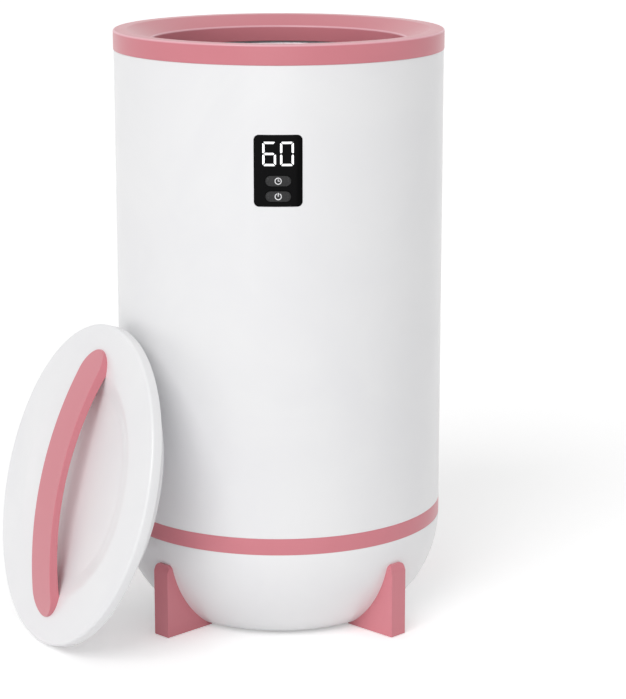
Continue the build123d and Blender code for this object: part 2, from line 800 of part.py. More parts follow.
def make_cable_clips():
    clips = []
    depth = shell_inner + cable_y + cable_radius + clip_wall
    for index in range(cable_clip_count):
        height = cable_clip_low_z + index * cable_clip_pitch
        clip = block((cable_clip_size[0], depth, cable_clip_size[1]), (0, depth / 2 - shell_inner, height))
        clip = clip & rod(shell_inner, height, height + cable_clip_size[1])
        clips.append(clip - Pos(0, cable_y, 0) * rod(cable_radius, height, height + cable_clip_size[1]))
    return clips


# Control panel ------------------------------------------------------------------------------------
def rounded_window(width, height, corner):
    return Pos(0, panel_z) * RectangleRounded(width, height, corner)


def display_boss_centres():
    x, z = display_boss_place
    return [(side_x * x, panel_z + side_z * z) for side_x in (-1, 1) for side_z in (-1, 1)]


def front_prism(sketch):
    """Prism of a front-view sketch through the front wall of the bucket."""
    return along_y(sketch, -shell_radius - shell_wall, -shell_radius / 2)


def curved_slab(sketch, outer, inner):
    """Slab that follows the bucket's front, with the outline of a front-view sketch."""
    low = panel_z - display_board_size[1]
    high = panel_z + display_board_size[1]
    return front_prism(sketch) & tube(outer, inner, low, high)


def pill(length, height):
    return SlotOverall(length, height)


def make_panel_window(segments):
    window = curved_slab(rounded_window(panel_width, panel_height, panel_corner), window_radius, shell_inner)
    for height in button_heights.values():
        hole = pill(button_length + 2 * button_clearance, button_height + 2 * button_clearance)
        window -= front_prism(Pos(0, height) * hole)
    return window - segments


def segment(length):
    """One display segment along X, with pointed ends."""
    half, tip = length / 2 - segment_gap, segment_width / 2
    return Polygon((-half, 0), (tip - half, tip), (half - tip, tip), (half, 0), (half - tip, -tip),
                   (tip - half, -tip), align=None)


def digit_sketches(lit, centre_x):
    """Lit segments of one seven-segment digit, named a to g in the usual order."""
    reach_x = (digit_width - segment_width) / 2
    reach_z = (digit_height - segment_width) / 2
    across, upright = segment(2 * reach_x), Rot(0, 0, 90) * segment(reach_z)
    places = {
        "a": Pos(0, reach_z) * across, "d": Pos(0, -reach_z) * across, "g": Pos(0, 0) * across,
        "b": Pos(reach_x, reach_z / 2) * upright, "c": Pos(reach_x, -reach_z / 2) * upright,
        "e": Pos(-reach_x, -reach_z / 2) * upright, "f": Pos(-reach_x, reach_z / 2) * upright}
    return [Pos(centre_x, digit_z) * places[name] for name in lit]


def make_digit_segments():
    lit = digit_sketches("acdefg", -digit_pitch / 2) + digit_sketches("abcdef", digit_pitch / 2)
    return [curved_slab(sketch, window_radius, shell_inner) for sketch in lit]


def make_digit_module():
    width, depth, height = module_size
    return block((width, depth, height), (0, display_board_y - depth / 2, digit_z - height / 2))


def make_panel_holder():
    plate = rounded_window(panel_width + 2 * holder_overlap, panel_height + 2 * holder_overlap,
                           panel_corner + holder_overlap)
    opening = rounded_window(panel_width - 2 * holder_lip, panel_height - 2 * holder_lip, panel_corner / 2)
    holder = curved_slab(plate - opening, shell_inner, holder_inner)
    outer_size = (panel_width + 2 * light_box_margin, panel_height + 2 * light_box_margin)
    inner_size = [length - 2 * light_box_wall for length in outer_size]
    walls = Pos(0, panel_z) * (Rectangle(*outer_size) - Rectangle(*inner_size))
    box = along_y(walls, -shell_inner, display_board_y)
    return holder + (box & rod(holder_inner + fit_gap, panel_z - panel_height, panel_z + panel_height))


def make_display_board():
    board = Pos(0, panel_z) * RectangleRounded(*display_board_size, board_corner)
    plate = along_y(board, display_board_y, display_back_y)
    for x, z in display_boss_centres():
        plate -= y_rod(passage(display_screw) / 2, display_board_y, display_back_y, x, z)
    return plate


def make_display_screws():
    return [Pos(x, display_back_y, z) * Rot(-90, 0, 0) * screw(display_screw)
            for x, z in display_boss_centres()]


def make_button_switches():
    switches = []
    for height in button_heights.values():
        width, depth, tall = switch_size
        body = block((width, depth, tall), (0, display_board_y - depth / 2, height - tall / 2))
        switches.append(body + y_rod(plunger_radius, plunger_y, switch_face_y, 0, height))
    return switches


def make_button(height, icon):
    """Push button cap with a hidden flange and a stem that reaches for its switch."""
    face = Pos(0, height) * pill(button_length, button_height)
    flange = Pos(0, height) * pill(button_length + 2 * button_flange, button_height + 2 * button_flange)
    cap = along_y(face, -2 * shell_radius, button_flange_back_y) & rod(
        button_face_radius, height - button_height, height + button_height)
    rear = along_y(flange, -2 * shell_radius, button_flange_back_y) & rod(
        shell_inner - seat_gap, height - button_height, height + button_height)
    stem_end = plunger_y - button_travel - fit_gap
    stem = y_rod(stem_radius, button_flange_back_y - 1, stem_end, 0, height)
    return cap + rear + stem - icon


def icon_inlay(sketches, height):
    """Thin inlay in a button's face."""
    shape = along_y(Pos(0, height) * sketches, -2 * shell_radius, -shell_radius / 2)
    return shape & tube(button_face_radius, button_face_radius - icon_depth, height - icon_radius - 1,
                        height + icon_radius + 1)


def make_timer_icon():
    """Clock face: a ring with two hands."""
    ring = Circle(icon_radius) - Circle(icon_radius - icon_stroke)
    hand = icon_stroke * 0.7
    upright = Pos(0, icon_radius * 0.4) * Rectangle(hand, icon_radius * 0.8)
    across = Pos(icon_radius * 0.35, 0) * Rectangle(icon_radius * 0.7, hand)
    return icon_inlay(ring + upright + across + Rectangle(hand, hand), button_heights["timer"])


def make_power_icon():
    """Open ring with an upright bar in its gap."""
    ring = Circle(icon_radius) - Circle(icon_radius - icon_stroke)
    gap = Pos(0, icon_radius) * Rectangle(3 * icon_stroke, 2 * icon_radius)
    bar = Pos(0, icon_radius * 0.62) * Rectangle(icon_stroke, icon_radius * 1.1)
    return icon_inlay(ring - gap + bar, button_heights["power"])


# Lid ----------------------------------------------------------------------------------------------
def dish_step(raise_by):
    """Smooth step from the lid's face down to its dish, as a curve of radius and height."""
    middle_radius = (dish_radius + dish_floor_radius) / 2
    quarter = (dish_radius - dish_floor_radius) / 4
    points = [
        (dish_floor_radius, raise_by - dish_depth),
        (middle_radius - quarter, raise_by - dish_depth * 0.84),
        (middle_radius, raise_by - dish_depth / 2),
        (middle_radius + quarter, raise_by - dish_depth * 0.16),
        (dish_radius, raise_by)]
    return Spline(*points, tangents=[(1, 0), (1, 0)])


def lid_envelope():
    """Everything behind the lid's outer face."""
    edge = lid_edge_round
    corner = (lid_radius - edge * (1 - sin(radians(45))), -edge * (1 - cos(radians(45))))
    back = lid_back_round
    low_corner = (lid_radius - back * (1 - sin(radians(45))), -lid_thickness + back * (1 - cos(radians(45))))
    outline = [
        Line((0, -lid_thickness), (0, -dish_depth)), Line((0, -dish_depth), (dish_floor_radius, -dish_depth)),
        dish_step(0), Line((dish_radius, 0), (lid_radius - edge, 0)),
        ThreePointArc((lid_radius - edge, 0), corner, (lid_radius, -edge)),
        Line((lid_radius, -edge), (lid_radius, -lid_thickness + back)),
        ThreePointArc((lid_radius, -lid_thickness + back), low_corner, (lid_radius - back, -lid_thickness)),
        Line((lid_radius - back, -lid_thickness), (0, -lid_thickness))]
    return revolve(Plane.XZ * make_face(outline), Axis.Z)


def lid_cavity():
    """Hollow behind the lid's face."""
    low = -lid_thickness
    wall_radius = lid_radius - lid_wall
    outline = [
        Line((0, low), (0, -dish_depth - lid_wall)),
        Line((0, -dish_depth - lid_wall), (dish_floor_radius, -dish_depth - lid_wall)), dish_step(-lid_wall),
        Line((dish_radius, -lid_wall), (wall_radius - lid_wall, -lid_wall)),
        Line((wall_radius - lid_wall, -lid_wall), (wall_radius, -2 * lid_wall)),
        Line((wall_radius, -2 * lid_wall), (wall_radius, low)), Line((wall_radius, low), (0, low))]
    return revolve(Plane.XZ * make_face(outline), Axis.Z)


def make_lid_cover(envelope):
    cover = envelope - lid_cavity()
    boss_low = plug_flange_thickness - lid_thickness
    boss = Pos(lid_screw_radius, 0, 0) * rod(lid_screw[0] / 2 + 2.0, boss_low, -lid_wall)
    pilot = Pos(lid_screw_radius, 0, 0) * rod(lid_screw[0] / 2, boss_low, lid_screw[1] - lid_thickness)
    cover += ring_of(boss, lid_screw_count, lid_screw_angle)
    cover -= ring_of(pilot, lid_screw_count, lid_screw_angle)
    for side in (-1, 1):
        cover -= Pos(0, side * handle_screw_reach, 0) * rod(passage(handle_screw) / 2, -lid_wall, 0)
    return cover


def make_lid_plug():
    low = -lid_thickness - plug_depth
    flange_top = plug_flange_thickness - lid_thickness
    points = [
        (0, low), (plug_radius, low), (plug_radius, -lid_thickness), (plug_flange_radius, -lid_thickness),
        (plug_flange_radius, flange_top), (plug_radius - plug_wall, flange_top),
        (plug_radius - plug_wall, low + plug_wall), (0, low + plug_wall)]
    plug = turned(points, [0, plug_round, 0, 0, 0, 0, plug_round / 2, 0])
    hole = Pos(lid_screw_radius, 0, 0) * rod(passage(lid_screw) / 2, -lid_thickness, flange_top)
    return plug - ring_of(hole, lid_screw_count, lid_screw_angle)


def make_lid_insulation():
    low = plug_wall - lid_thickness - plug_depth
    return rod(plug_radius - plug_wall - plug_round / 2, low, -dish_depth - lid_wall)


def make_lid_seal():
    return tube(plug_radius + seal_width, plug_radius, -lid_thickness - seal_depth, -lid_thickness)


def make_lid_screws():
    one = Pos(lid_screw_radius, 0, -lid_thickness) * Rot(180, 0, 0) * screw(lid_screw)
    return ring_of(one, lid_screw_count, lid_screw_angle)


def make_handle_screws():
    return [Pos(0, side * handle_screw_reach, -lid_wall) * Rot(180, 0, 0) * screw(handle_screw)
            for side in (-1, 1)]


def make_handle(envelope):
    half, grip_half = handle_length / 2, handle_grip_length / 2
    inner_rise = handle_rise - handle_thickness
    low = -lid_thickness / 2
    side = [
        ThreePointArc((-half, handle_tip_rise), (0, handle_rise), (half, handle_tip_rise)),
        Line((half, handle_tip_rise), (half, low)), Line((half, low), (grip_half, low)),
        Line((grip_half, low), (grip_half, 0)),
        ThreePointArc((grip_half, 0), (0, inner_rise), (-grip_half, 0)),
        Line((-grip_half, 0), (-grip_half, low)), Line((-grip_half, low), (-half, low)),
        Line((-half, low), (-half, handle_tip_rise))]
    arch = Pos(-handle_width / 2, 0, 0) * extrude(Plane.YZ * make_face(side), handle_width, dir=(1, 0, 0))
    plan = Pos(0, 0, low) * extrude(Rot(0, 0, 90) * SlotOverall(handle_length, handle_width),
                                    handle_rise - low)
    handle = arch & plan
    outer_face = handle.faces().sort_by(Axis.Z)[-1]
    handle = fillet(outer_face.edges(), handle_edge_round)
    handle -= envelope
    for side_y in (-1, 1):
        handle -= Pos(0, side_y * handle_screw_reach, 0) * rod(
            handle_screw[0] / 2, -lid_wall, handle_screw[1] - lid_wall)
    return handle


def lid_location():
    """Where the lid stands: low edge just off the floor, plug's top edge just off the shell."""
    tilt, bearing = radians(lean_tilt), radians(lean_bearing)
    rounding = sin(tilt) + cos(tilt) - 1
    reach = (shell_radius + lean_gap + plug_radius * sin(tilt)
             + (lid_thickness + plug_depth) * cos(tilt) - plug_round * rounding)
    height = (floor_gap + lid_radius * cos(tilt) + lid_thickness * sin(tilt)
              - lid_back_round * rounding)
    outward = Vector(cos(bearing), sin(bearing), 0)
    normal = outward * cos(tilt) + Vector(0, 0, sin(tilt))
    upward = Vector(0, 0, cos(tilt)) - outward * sin(tilt)
    stand = Plane(origin=outward * reach + Vector(0, 0, height), x_dir=upward.cross(normal), z_dir=normal)
    return stand.location * Rot(0, 0, lid_turn)


# Assembly -----------------------------------------------------------------------------------------
def build_nodes():
    bowl_envelope = make_bowl_envelope()
    segments = make_digit_segments()
    icons = {"timer": make_timer_icon(), "power": make_power_icon()}
    nodes = {
        "outer_shell": make_outer_shell(), "rim_ring": make_rim_ring(), "rim_screws": make_rim_screws(),
        "inner_liner": make_inner_liner(), "liner_gasket": make_liner_gasket(),
        "heater_film": make_heater_film(), "heater_base_pad": make_heater_base_pad(),
        "heater_terminal": make_heater_terminal(), "insulation_jacket": make_insulation_jacket(),
        "insulation_base": make_insulation_base(), "thermostat": make_thermostat(),
        "thermostat_bracket": make_thermostat_bracket(), "thermal_fuse": make_thermal_fuse(),
        "fuse_cushion": make_fuse_cushion(), "accent_band": make_accent_band(),
        "chassis_plate": make_chassis_plate(), "chassis_screws": make_chassis_screws(),
        "lower_bowl": make_lower_bowl(bowl_envelope), "base_screws": make_base_screws(),
        "foot_screws": make_foot_screws(), "cord_gland": make_cord_gland(),
        "gland_nut": make_gland_nut(), "power_board": make_power_board(),
        "board_screws": make_board_screws(), "transformer": make_transformer(), "relay": make_relay(),
        "capacitors": make_capacitors(), "terminal_block": make_terminal_block(),
        "sensor_leads": make_sensor_leads(), "heater_leads": make_heater_leads(),
        "display_cable": make_display_cable(), "cable_plugs": make_cable_plugs(),
        "cable_clips": make_cable_clips(), "panel_window": make_panel_window(segments),
        "digit_segments": segments, "digit_module": make_digit_module(),
        "panel_holder": make_panel_holder(), "display_board": make_display_board(),
        "display_screws": make_display_screws(), "button_switches": make_button_switches()}
    for name, height in button_heights.items():
        nodes[f"{name}_button"] = make_button(height, icons[name])
        nodes[f"{name}_icon"] = icons[name]
    foot_names = ("rear_right", "rear_left", "front_left", "front_right")
    foot_copies = ring_of(make_foot(bowl_envelope), foot_count, foot_angle)
    pad_copies = ring_of(pad_shape(0), foot_count, foot_angle)
    for name, foot, pad in zip(foot_names, foot_copies, pad_copies):
        nodes[f"foot_{name}"] = foot
        nodes[f"foot_pad_{name}"] = pad
    cover_envelope = lid_envelope()
    lid_nodes = {
        "lid_cover": make_lid_cover(cover_envelope), "lid_plug": make_lid_plug(),
        "lid_insulation": make_lid_insulation(), "lid_seal": make_lid_seal(),
        "lid_screws": make_lid_screws(), "handle": make_handle(cover_envelope),
        "handle_screws": make_handle_screws()}
    stand = lid_location()
    for name, shape in lid_nodes.items():
        nodes[name] = [stand * piece for piece in solids_of(shape)]
    return nodes


def solids_of(shape):
    """Separate solids of a shape or of a list of shapes."""
    pieces = shape if isinstance(shape, list) else [shape]
    return [solid for piece in pieces for solid in piece.solids()]


os.makedirs("parts", exist_ok=True)
for node_name, node_shape in build_nodes().items():
    node_solids = solids_of(node_shape)
    result = node_solids[0] if len(node_solids) == 1 else Compound(children=node_solids)
    export_step(result, f"parts/{node_name}.step")
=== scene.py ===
from math import atan2, cos, pi, radians, sin, sqrt

import bpy
from mathutils import Matrix, Vector


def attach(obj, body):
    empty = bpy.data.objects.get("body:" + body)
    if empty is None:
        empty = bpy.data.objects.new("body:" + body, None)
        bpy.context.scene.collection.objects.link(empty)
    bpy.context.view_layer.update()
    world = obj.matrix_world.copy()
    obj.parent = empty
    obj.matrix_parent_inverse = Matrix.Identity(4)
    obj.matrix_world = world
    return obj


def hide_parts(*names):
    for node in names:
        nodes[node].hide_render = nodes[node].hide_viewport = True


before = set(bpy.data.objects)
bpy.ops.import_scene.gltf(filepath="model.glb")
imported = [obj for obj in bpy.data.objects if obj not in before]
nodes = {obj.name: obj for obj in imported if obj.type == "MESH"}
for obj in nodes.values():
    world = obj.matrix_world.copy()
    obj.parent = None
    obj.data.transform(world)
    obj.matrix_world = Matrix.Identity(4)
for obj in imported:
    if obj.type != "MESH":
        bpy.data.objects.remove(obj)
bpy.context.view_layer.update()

# Outer shell --------------------------------------------------------------------------------------
# The tall white wall of the bucket: one satin ABS moulding, 2.5 mm thick. Its spigot at the top
# carries the pink rim, its ledge carries the steel pot, and a window is cut for the control panel.
MM = 0.001
TURN_STEPS = 240
MERGE_WITHIN = 2e-6
BUCKET_HEIGHT = 542.0
SHELL_RADIUS = 149.5
SHELL_INNER = 147.0
SHELL_LOW, SHELL_HIGH = 105.2, 524.4
SEAM_ROUND = 0.5
SPIGOT_OUTER, SPIGOT_INNER, SPIGOT_TOP = 147.0, 144.5, 531.0
LEDGE_INNER, LEDGE_LOW, LEDGE_TOP = 126.5, 512.8, 515.8
LEDGE_ROOT = 510.0
PANEL_HEIGHT_Z = 434.4
PANEL_SIZE = (41.6, 61.8)
PANEL_CORNER = 4.3
PANEL_GAP = 0.2
BLOCK_FRONT_Y, BLOCK_DEPTH = -155.0, 16.0
CORNER_STEPS = 8


def draw_outline(name, points, closed=True):
    """Wire through points in millimetres, drawn one edge at a time."""
    bpy.ops.object.select_all(action="DESELECT")
    bpy.ops.mesh.primitive_plane_add(size=0.01)
    piece = bpy.context.object
    piece.name = piece.data.name = name
    bpy.ops.object.mode_set(mode="EDIT")
    bpy.ops.mesh.select_mode(type="VERT")
    bpy.ops.mesh.select_all(action="SELECT")
    bpy.ops.mesh.merge(type="CENTER")
    bpy.ops.transform.translate(value=[c * MM for c in points[0]])
    for before, after in zip(points, points[1:]):
        step = [(b - a) * MM for a, b in zip(before, after)]
        bpy.ops.mesh.extrude_region_move(TRANSFORM_OT_translate={"value": step})
    if closed:
        ends = (points[0], points[-1])
        pick(piece, lambda *place: any(dist(place, end) < 1e-3 for end in ends))
        bpy.ops.mesh.edge_face_add()
    return piece


def dist(a, b):
    """How far apart two points are."""
    return sqrt(sum((p - q) ** 2 for p, q in zip(a, b)))


def pick(piece, test):
    """Select the points of a piece that pass a test on their x, y and z in millimetres."""
    bpy.ops.object.mode_set(mode="OBJECT")
    for face in piece.data.polygons:
        face.select = False
    for edge in piece.data.edges:
        edge.select = False
    for point in piece.data.vertices:
        point.select = test(*(c / MM for c in point.co))
    bpy.ops.object.mode_set(mode="EDIT")
    bpy.ops.mesh.select_mode(type="VERT")


def round_corners(piece, corners, segments=6):
    """Round the outline's corners, given as (point, setback in millimetres)."""
    for corner, setback in corners:
        pick(piece, lambda *place: dist(place, corner) < 1e-3)
        bpy.ops.mesh.bevel(offset=setback * MM, segments=segments, affect="VERTICES")


def select_whole():
    bpy.ops.object.mode_set(mode="EDIT")
    bpy.ops.mesh.select_all(action="SELECT")


def face_outward():
    bpy.ops.mesh.select_all(action="SELECT")
    bpy.ops.mesh.normals_make_consistent(inside=False)
    bpy.ops.object.mode_set(mode="OBJECT")


def turn(steps, angle=2 * pi):
    """Turn the active outline, which lies in the XZ plane, about the Z axis."""
    select_whole()
    bpy.ops.mesh.spin(steps=steps, angle=angle, center=(0, 0, 0), axis=(0, 0, 1))
    bpy.ops.mesh.select_all(action="SELECT")
    bpy.ops.mesh.remove_doubles(threshold=MERGE_WITHIN)
    face_outward()


def turned_piece(name, profile, rounds=None, closed=True, steps=TURN_STEPS):
    """A piece turned from an outline of (radius, height); rounds maps a corner's index to its setback."""
    points = [(radius, 0.0, height) for radius, height in profile]
    piece = draw_outline(name, points, closed)
    round_corners(piece, [(points[i], setback) for i, setback in (rounds or {}).items()])
    turn(steps)
    return piece


def pull_out(way):
    """Fill the active outline and pull it out into a block, by a vector in millimetres."""
    select_whole()
    bpy.ops.mesh.edge_face_add()
    bpy.ops.mesh.extrude_region_move(TRANSFORM_OT_translate={"value": [c * MM for c in way]})
    face_outward()


def make_active(piece):
    bpy.ops.object.select_all(action="DESELECT")
    piece.select_set(True)
    bpy.context.view_layer.objects.active = piece


def combine(piece, tool, operation):
    """Cut, join or keep the common part of two pieces; the tool is used up."""
    make_active(piece)
    step = piece.modifiers.new(operation, "BOOLEAN")
    step.operation = operation
    step.object = tool
    step.solver = "EXACT"
    bpy.ops.object.modifier_apply(modifier=step.name)
    bpy.data.objects.remove(tool)


def smooth(piece, angle=30):
    make_active(piece)
    bpy.ops.object.shade_smooth_by_angle(angle=radians(angle))


def upright(low_x, high_x, low_z, high_z, y):
    """Corners of an upright rectangle that faces the front."""
    return [(low_x, y, low_z), (high_x, y, low_z), (high_x, y, high_z), (low_x, y, high_z)]


def panel_outline(gap):
    """The panel's rectangle in front of the bucket, larger by a gap all round."""
    x, z = PANEL_SIZE[0] / 2 + gap, PANEL_SIZE[1] / 2 + gap
    return upright(-x, x, PANEL_HEIGHT_Z - z, PANEL_HEIGHT_Z + z, BLOCK_FRONT_Y)


def front_block(name, points, corner=0.0):
    """Block pulled straight back from an outline in front of the bucket."""
    block = draw_outline(name, points)
    if corner:
        round_corners(block, [(point, corner) for point in points], CORNER_STEPS)
    pull_out((0, BLOCK_DEPTH, 0))
    return block


outer_shell = turned_piece("outer_shell_wall", [
    (SHELL_RADIUS, SHELL_LOW), (SHELL_RADIUS, SHELL_HIGH), (SPIGOT_OUTER, SHELL_HIGH),
    (SPIGOT_OUTER, SPIGOT_TOP), (SPIGOT_INNER, SPIGOT_TOP), (SPIGOT_INNER, LEDGE_TOP),
    (LEDGE_INNER, LEDGE_TOP), (LEDGE_INNER, LEDGE_LOW), (SPIGOT_INNER, LEDGE_LOW),
    (SHELL_INNER, LEDGE_ROOT), (SHELL_INNER, SHELL_LOW)], {0: SEAM_ROUND, 1: SEAM_ROUND})
opening = front_block("panel_opening", panel_outline(PANEL_GAP), PANEL_CORNER + PANEL_GAP)
combine(outer_shell, opening, "DIFFERENCE")
smooth(outer_shell)


def linear(red, green, blue):
    """A colour given from 0 to 255, as the light levels that shaders work in."""
    levels = [c / 255 / 12.92 if c <= 10 else ((c / 255 + 0.055) / 1.055) ** 2.4
              for c in (red, green, blue)]
    return (*levels, 1.0)


def feed(tree, node, **values):
    """Set a node's inputs; a value is a number, a colour or another node's output."""
    for key, value in values.items():
        socket = node.inputs[int(key[1:]) if key[0] == "i" and key[1:].isdigit() else key.replace("_", " ")]
        if isinstance(value, bpy.types.NodeSocket):
            tree.links.new(value, socket)
        else:
            socket.default_value = value


def place(tree, kind, settings=None, **values):
    """A shader node with its settings and its inputs."""
    made = tree.nodes.new("ShaderNode" + kind)
    for key, value in (settings or {}).items():
        setattr(made, key, value)
    feed(tree, made, **values)
    return made


def own_place(tree):
    """Where a point is in the piece's own coordinates."""
    return place(tree, "TexCoord").outputs["Object"]


def noise(tree, scale, detail=2.0, roughness=0.5, distortion=0.0, on=None):
    """Cloudy noise on the piece's own coordinates, or on others."""
    return place(tree, "TexNoise", Vector=on or own_place(tree), Scale=scale, Detail=detail,
                 Roughness=roughness, Distortion=distortion).outputs["Fac"]


def maths(tree, operation, first, second=0.0):
    return place(tree, "Math", {"operation": operation}, i0=first, i1=second).outputs[0]


def fade(tree, value, low, high, to_low=0.0, to_high=1.0):
    """A value spread from one range to another and held there."""
    return place(tree, "MapRange", {"interpolation_type": "SMOOTHSTEP"}, Value=value, From_Min=low,
                 From_Max=high, To_Min=to_low, To_Max=to_high).outputs[0]


def mixed(tree, factor, first, second):
    """Two colours mixed by a mask."""
    return place(tree, "Mix", {"data_type": "RGBA"}, i0=factor, i6=first, i7=second).outputs[2]


def effect(name, inputs, outputs):
    """An empty node group, with its way in and its way out."""
    group = bpy.data.node_groups.new(name, "ShaderNodeTree")
    for label, value in inputs.items():
        socket = group.interface.new_socket(label, in_out="INPUT", socket_type="NodeSocketFloat")
        socket.default_value = value
    for label in outputs:
        group.interface.new_socket(label, in_out="OUTPUT", socket_type="NodeSocketFloat")
    return group, group.nodes.new("NodeGroupInput"), group.nodes.new("NodeGroupOutput")


def use(tree, group, **values):
    """Place an effect in a material, with the material's own values."""
    return place(tree, "Group", {"node_tree": group}, **values).outputs


def make_moulded_surface():
    """Flow marks and fine spark-eroded grain that a moulding takes from its steel."""
    group, enter, leave = effect("moulded surface", {"Flow Size": 9.0, "Grain Size": 900.0},
                                 ("Flow", "Grain", "Sheen Patches"))
    flow = noise(group, enter.outputs["Flow Size"], 4.0, 0.55, 0.6)
    grain = noise(group, enter.outputs["Grain Size"], 3.0, 0.6)
    patches = noise(group, maths(group, "MULTIPLY", enter.outputs["Flow Size"], 4.3), 5.0, 0.65)
    feed(group, leave, Flow=fade(group, flow, 0.3, 0.7), Grain=grain,
         Sheen_Patches=fade(group, patches, 0.35, 0.75))
    return group


def make_settled_dust():
    """Thin dust and lint on what faces up."""
    group, enter, leave = effect("settled dust", {"Amount": 0.1, "Size": 260.0}, ("Dust",))
    facing = place(group, "SeparateXYZ", Vector=place(group, "NewGeometry").outputs["Normal"]).outputs["Z"]
    up = fade(group, facing, 0.2, 0.95)
    lint = fade(group, noise(group, enter.outputs["Size"], 6.0, 0.7), 0.45, 0.8)
    lying = maths(group, "MULTIPLY", up, lint)
    feed(group, leave, Dust=maths(group, "MULTIPLY", lying, enter.outputs["Amount"]))
    return group


def from_axis(tree, parts):
    """How far a point is from the Z axis, from its separated coordinates."""
    squares = [maths(tree, "POWER", parts.outputs[letter], 2.0) for letter in "XY"]
    return maths(tree, "SQRT", maths(tree, "ADD", *squares))


def make_painted_edge_highlight():
    """Painted highlight along a round moulding's corner, at one radius and height in metres, as a paler line
    where the edge catches light.
    """
    group, enter, leave = effect("painted edge highlight", {"Radius": 0.1, "Height": 0.1, "Width": 0.0016}, ("Edge",))
    parts = place(group, "SeparateXYZ", Vector=own_place(group))
    across = maths(group, "SUBTRACT", from_axis(group, parts), enter.outputs["Radius"])
    along = maths(group, "SUBTRACT", parts.outputs["Z"], enter.outputs["Height"])
    away = maths(group, "SQRT", maths(group, "ADD", maths(group, "MULTIPLY", across, across),
                                      maths(group, "MULTIPLY", along, along)))
    share = maths(group, "DIVIDE", away, enter.outputs["Width"])
    feed(group, leave, Edge=fade(group, share, 0.2, 1.0, 1.0, 0.0))
    return group


moulded_surface = make_moulded_surface()
settled_dust = make_settled_dust()
painted_edge_highlight = make_painted_edge_highlight()


def new_material(name):
    """A material, its node tree and its Principled shader."""
    material = bpy.data.materials.new(name)
    material.use_nodes = True
    tree = material.node_tree
    return material, tree, tree.nodes["Principled BSDF"]


def bump(tree, height, depth, shader, **under):
    """Give a shader a height in metres as bump, over another bump's Normal where one is given."""
    normal = place(tree, "Bump", Strength=1.0, Distance=depth, Height=height, **under).outputs["Normal"]
    feed(tree, shader, Normal=normal)
    return normal


def plastic(name, colour, shadow, rough, flow_size, grain_size, grain_depth, dust=0.06, specular=0.5,
            coat=0.0, dust_colour=(196, 192, 188), patchy=0.04, edges=(), highlight_colour=(255, 255, 255)):
    """Moulded plastic: flow marks in the colour, patches in the sheen, a fine grain, and a painted highlight
    along the given edges.
    """
    material, tree, shader = new_material(name)
    surface = use(tree, moulded_surface, Flow_Size=flow_size, Grain_Size=grain_size)
    lint = use(tree, settled_dust, Amount=dust)["Dust"]
    body = mixed(tree, surface["Flow"], linear(*shadow), linear(*colour))
    # Each given edge gets a painted highlight: the colour is mixed to a paler one in a thin band round that
    # corner.
    for radius, height in edges:
        painted_highlight = use(tree, painted_edge_highlight, Radius=radius * MM, Height=height * MM)["Edge"]
        body = mixed(tree, painted_highlight, body, linear(*highlight_colour))
    sheen = fade(tree, surface["Sheen Patches"], 0.0, 1.0, rough - patchy, rough + patchy)
    feed(tree, shader, Base_Color=mixed(tree, lint, body, linear(*dust_colour)),
         Roughness=maths(tree, "ADD", sheen, maths(tree, "MULTIPLY", lint, 0.6)),
         Specular_IOR_Level=specular, Coat_Weight=coat, Coat_Roughness=0.12)
    bump(tree, surface["Grain"], grain_depth, shader)
    return material


white_abs = plastic("satin_white_abs", (243, 243, 244), (239, 239, 241), 0.32, 7.0, 1500.0, 6e-6, coat=0.15)


def fit(piece, material, body, node):
    """Give a piece its finish, and put it on its body in place of its CAD node."""
    piece.data.materials.clear()
    piece.data.materials.append(material)
    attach(piece, body)
    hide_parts(node)


fit(outer_shell, white_abs, "bucket", "outer_shell")

# Rim ring -----------------------------------------------------------------------------------------
# The pink ring on top of the shell: a flat lip, a slope down to the throat, and a skirt that runs
# down inside to hold the pot. Moulded in ABS, with every edge that a hand meets rounded.
RIM_RADIUS = 150.0
LIP_INNER = 137.4
MOUTH_RADIUS = 116.0
THROAT_Z = 532.6
SKIRT_END = 518.5
SKIRT_OUTER = 118.6
SKIRT_FOOT = 124.0
RIM_WALL_INNER = 147.2
RIM_UNDERSIDE = 539.2

rim_ring = turned_piece("rim_trim", [
    (RIM_RADIUS, SHELL_HIGH), (RIM_RADIUS, BUCKET_HEIGHT), (LIP_INNER, BUCKET_HEIGHT),
    (MOUTH_RADIUS, THROAT_Z), (MOUTH_RADIUS, SKIRT_END), (SKIRT_FOOT, SKIRT_END),
    (SKIRT_FOOT, SKIRT_END + 2.0), (SKIRT_OUTER, SKIRT_END + 2.0), (SKIRT_OUTER, THROAT_Z - 1.7),
    (LIP_INNER, RIM_UNDERSIDE), (RIM_WALL_INNER, RIM_UNDERSIDE), (RIM_WALL_INNER, SHELL_HIGH)],
    {0: 0.5, 1: 1.6, 2: 0.7, 3: 1.2, 4: 0.5}, steps=288)
smooth(rim_ring)
PINK, PINK_SHADOW = (217, 134, 144), (213, 129, 139)
pink_look = dict(rough=0.3, flow_size=5.0, grain_size=2200.0, grain_depth=2.5e-6, dust=0.012, specular=0.38,
                 dust_colour=(236, 196, 200), patchy=0.012)
# The rim's outer top corner and its throat corner get a painted highlight, a paler pink line where the
# rounded edges catch light.
rim_abs = plastic("rim_pink_abs", PINK, PINK_SHADOW, **pink_look, highlight_colour=(240, 182, 192),
                  edges=((RIM_RADIUS - 0.5, BUCKET_HEIGHT - 0.5), (MOUTH_RADIUS + 0.5, THROAT_Z)))
fit(rim_ring, rim_abs, "bucket", "rim_ring")

# Accent band --------------------------------------------------------------------------------------
# The pink band between the shell and the bowl. It is a ring of its own: tongues above and below
# centre the shell and the bowl on it, and a flange inside takes the chassis screws.
BAND_LOW, BAND_HIGH = 90.2, 105.2
TONGUE = 6.0
TONGUE_RADIUS = 146.52
BAND_INNER = 144.02
CHASSIS_TOP = 96.2
BAND_FLANGE_INNER, BAND_FLANGE_TOP = 131.0, 99.2

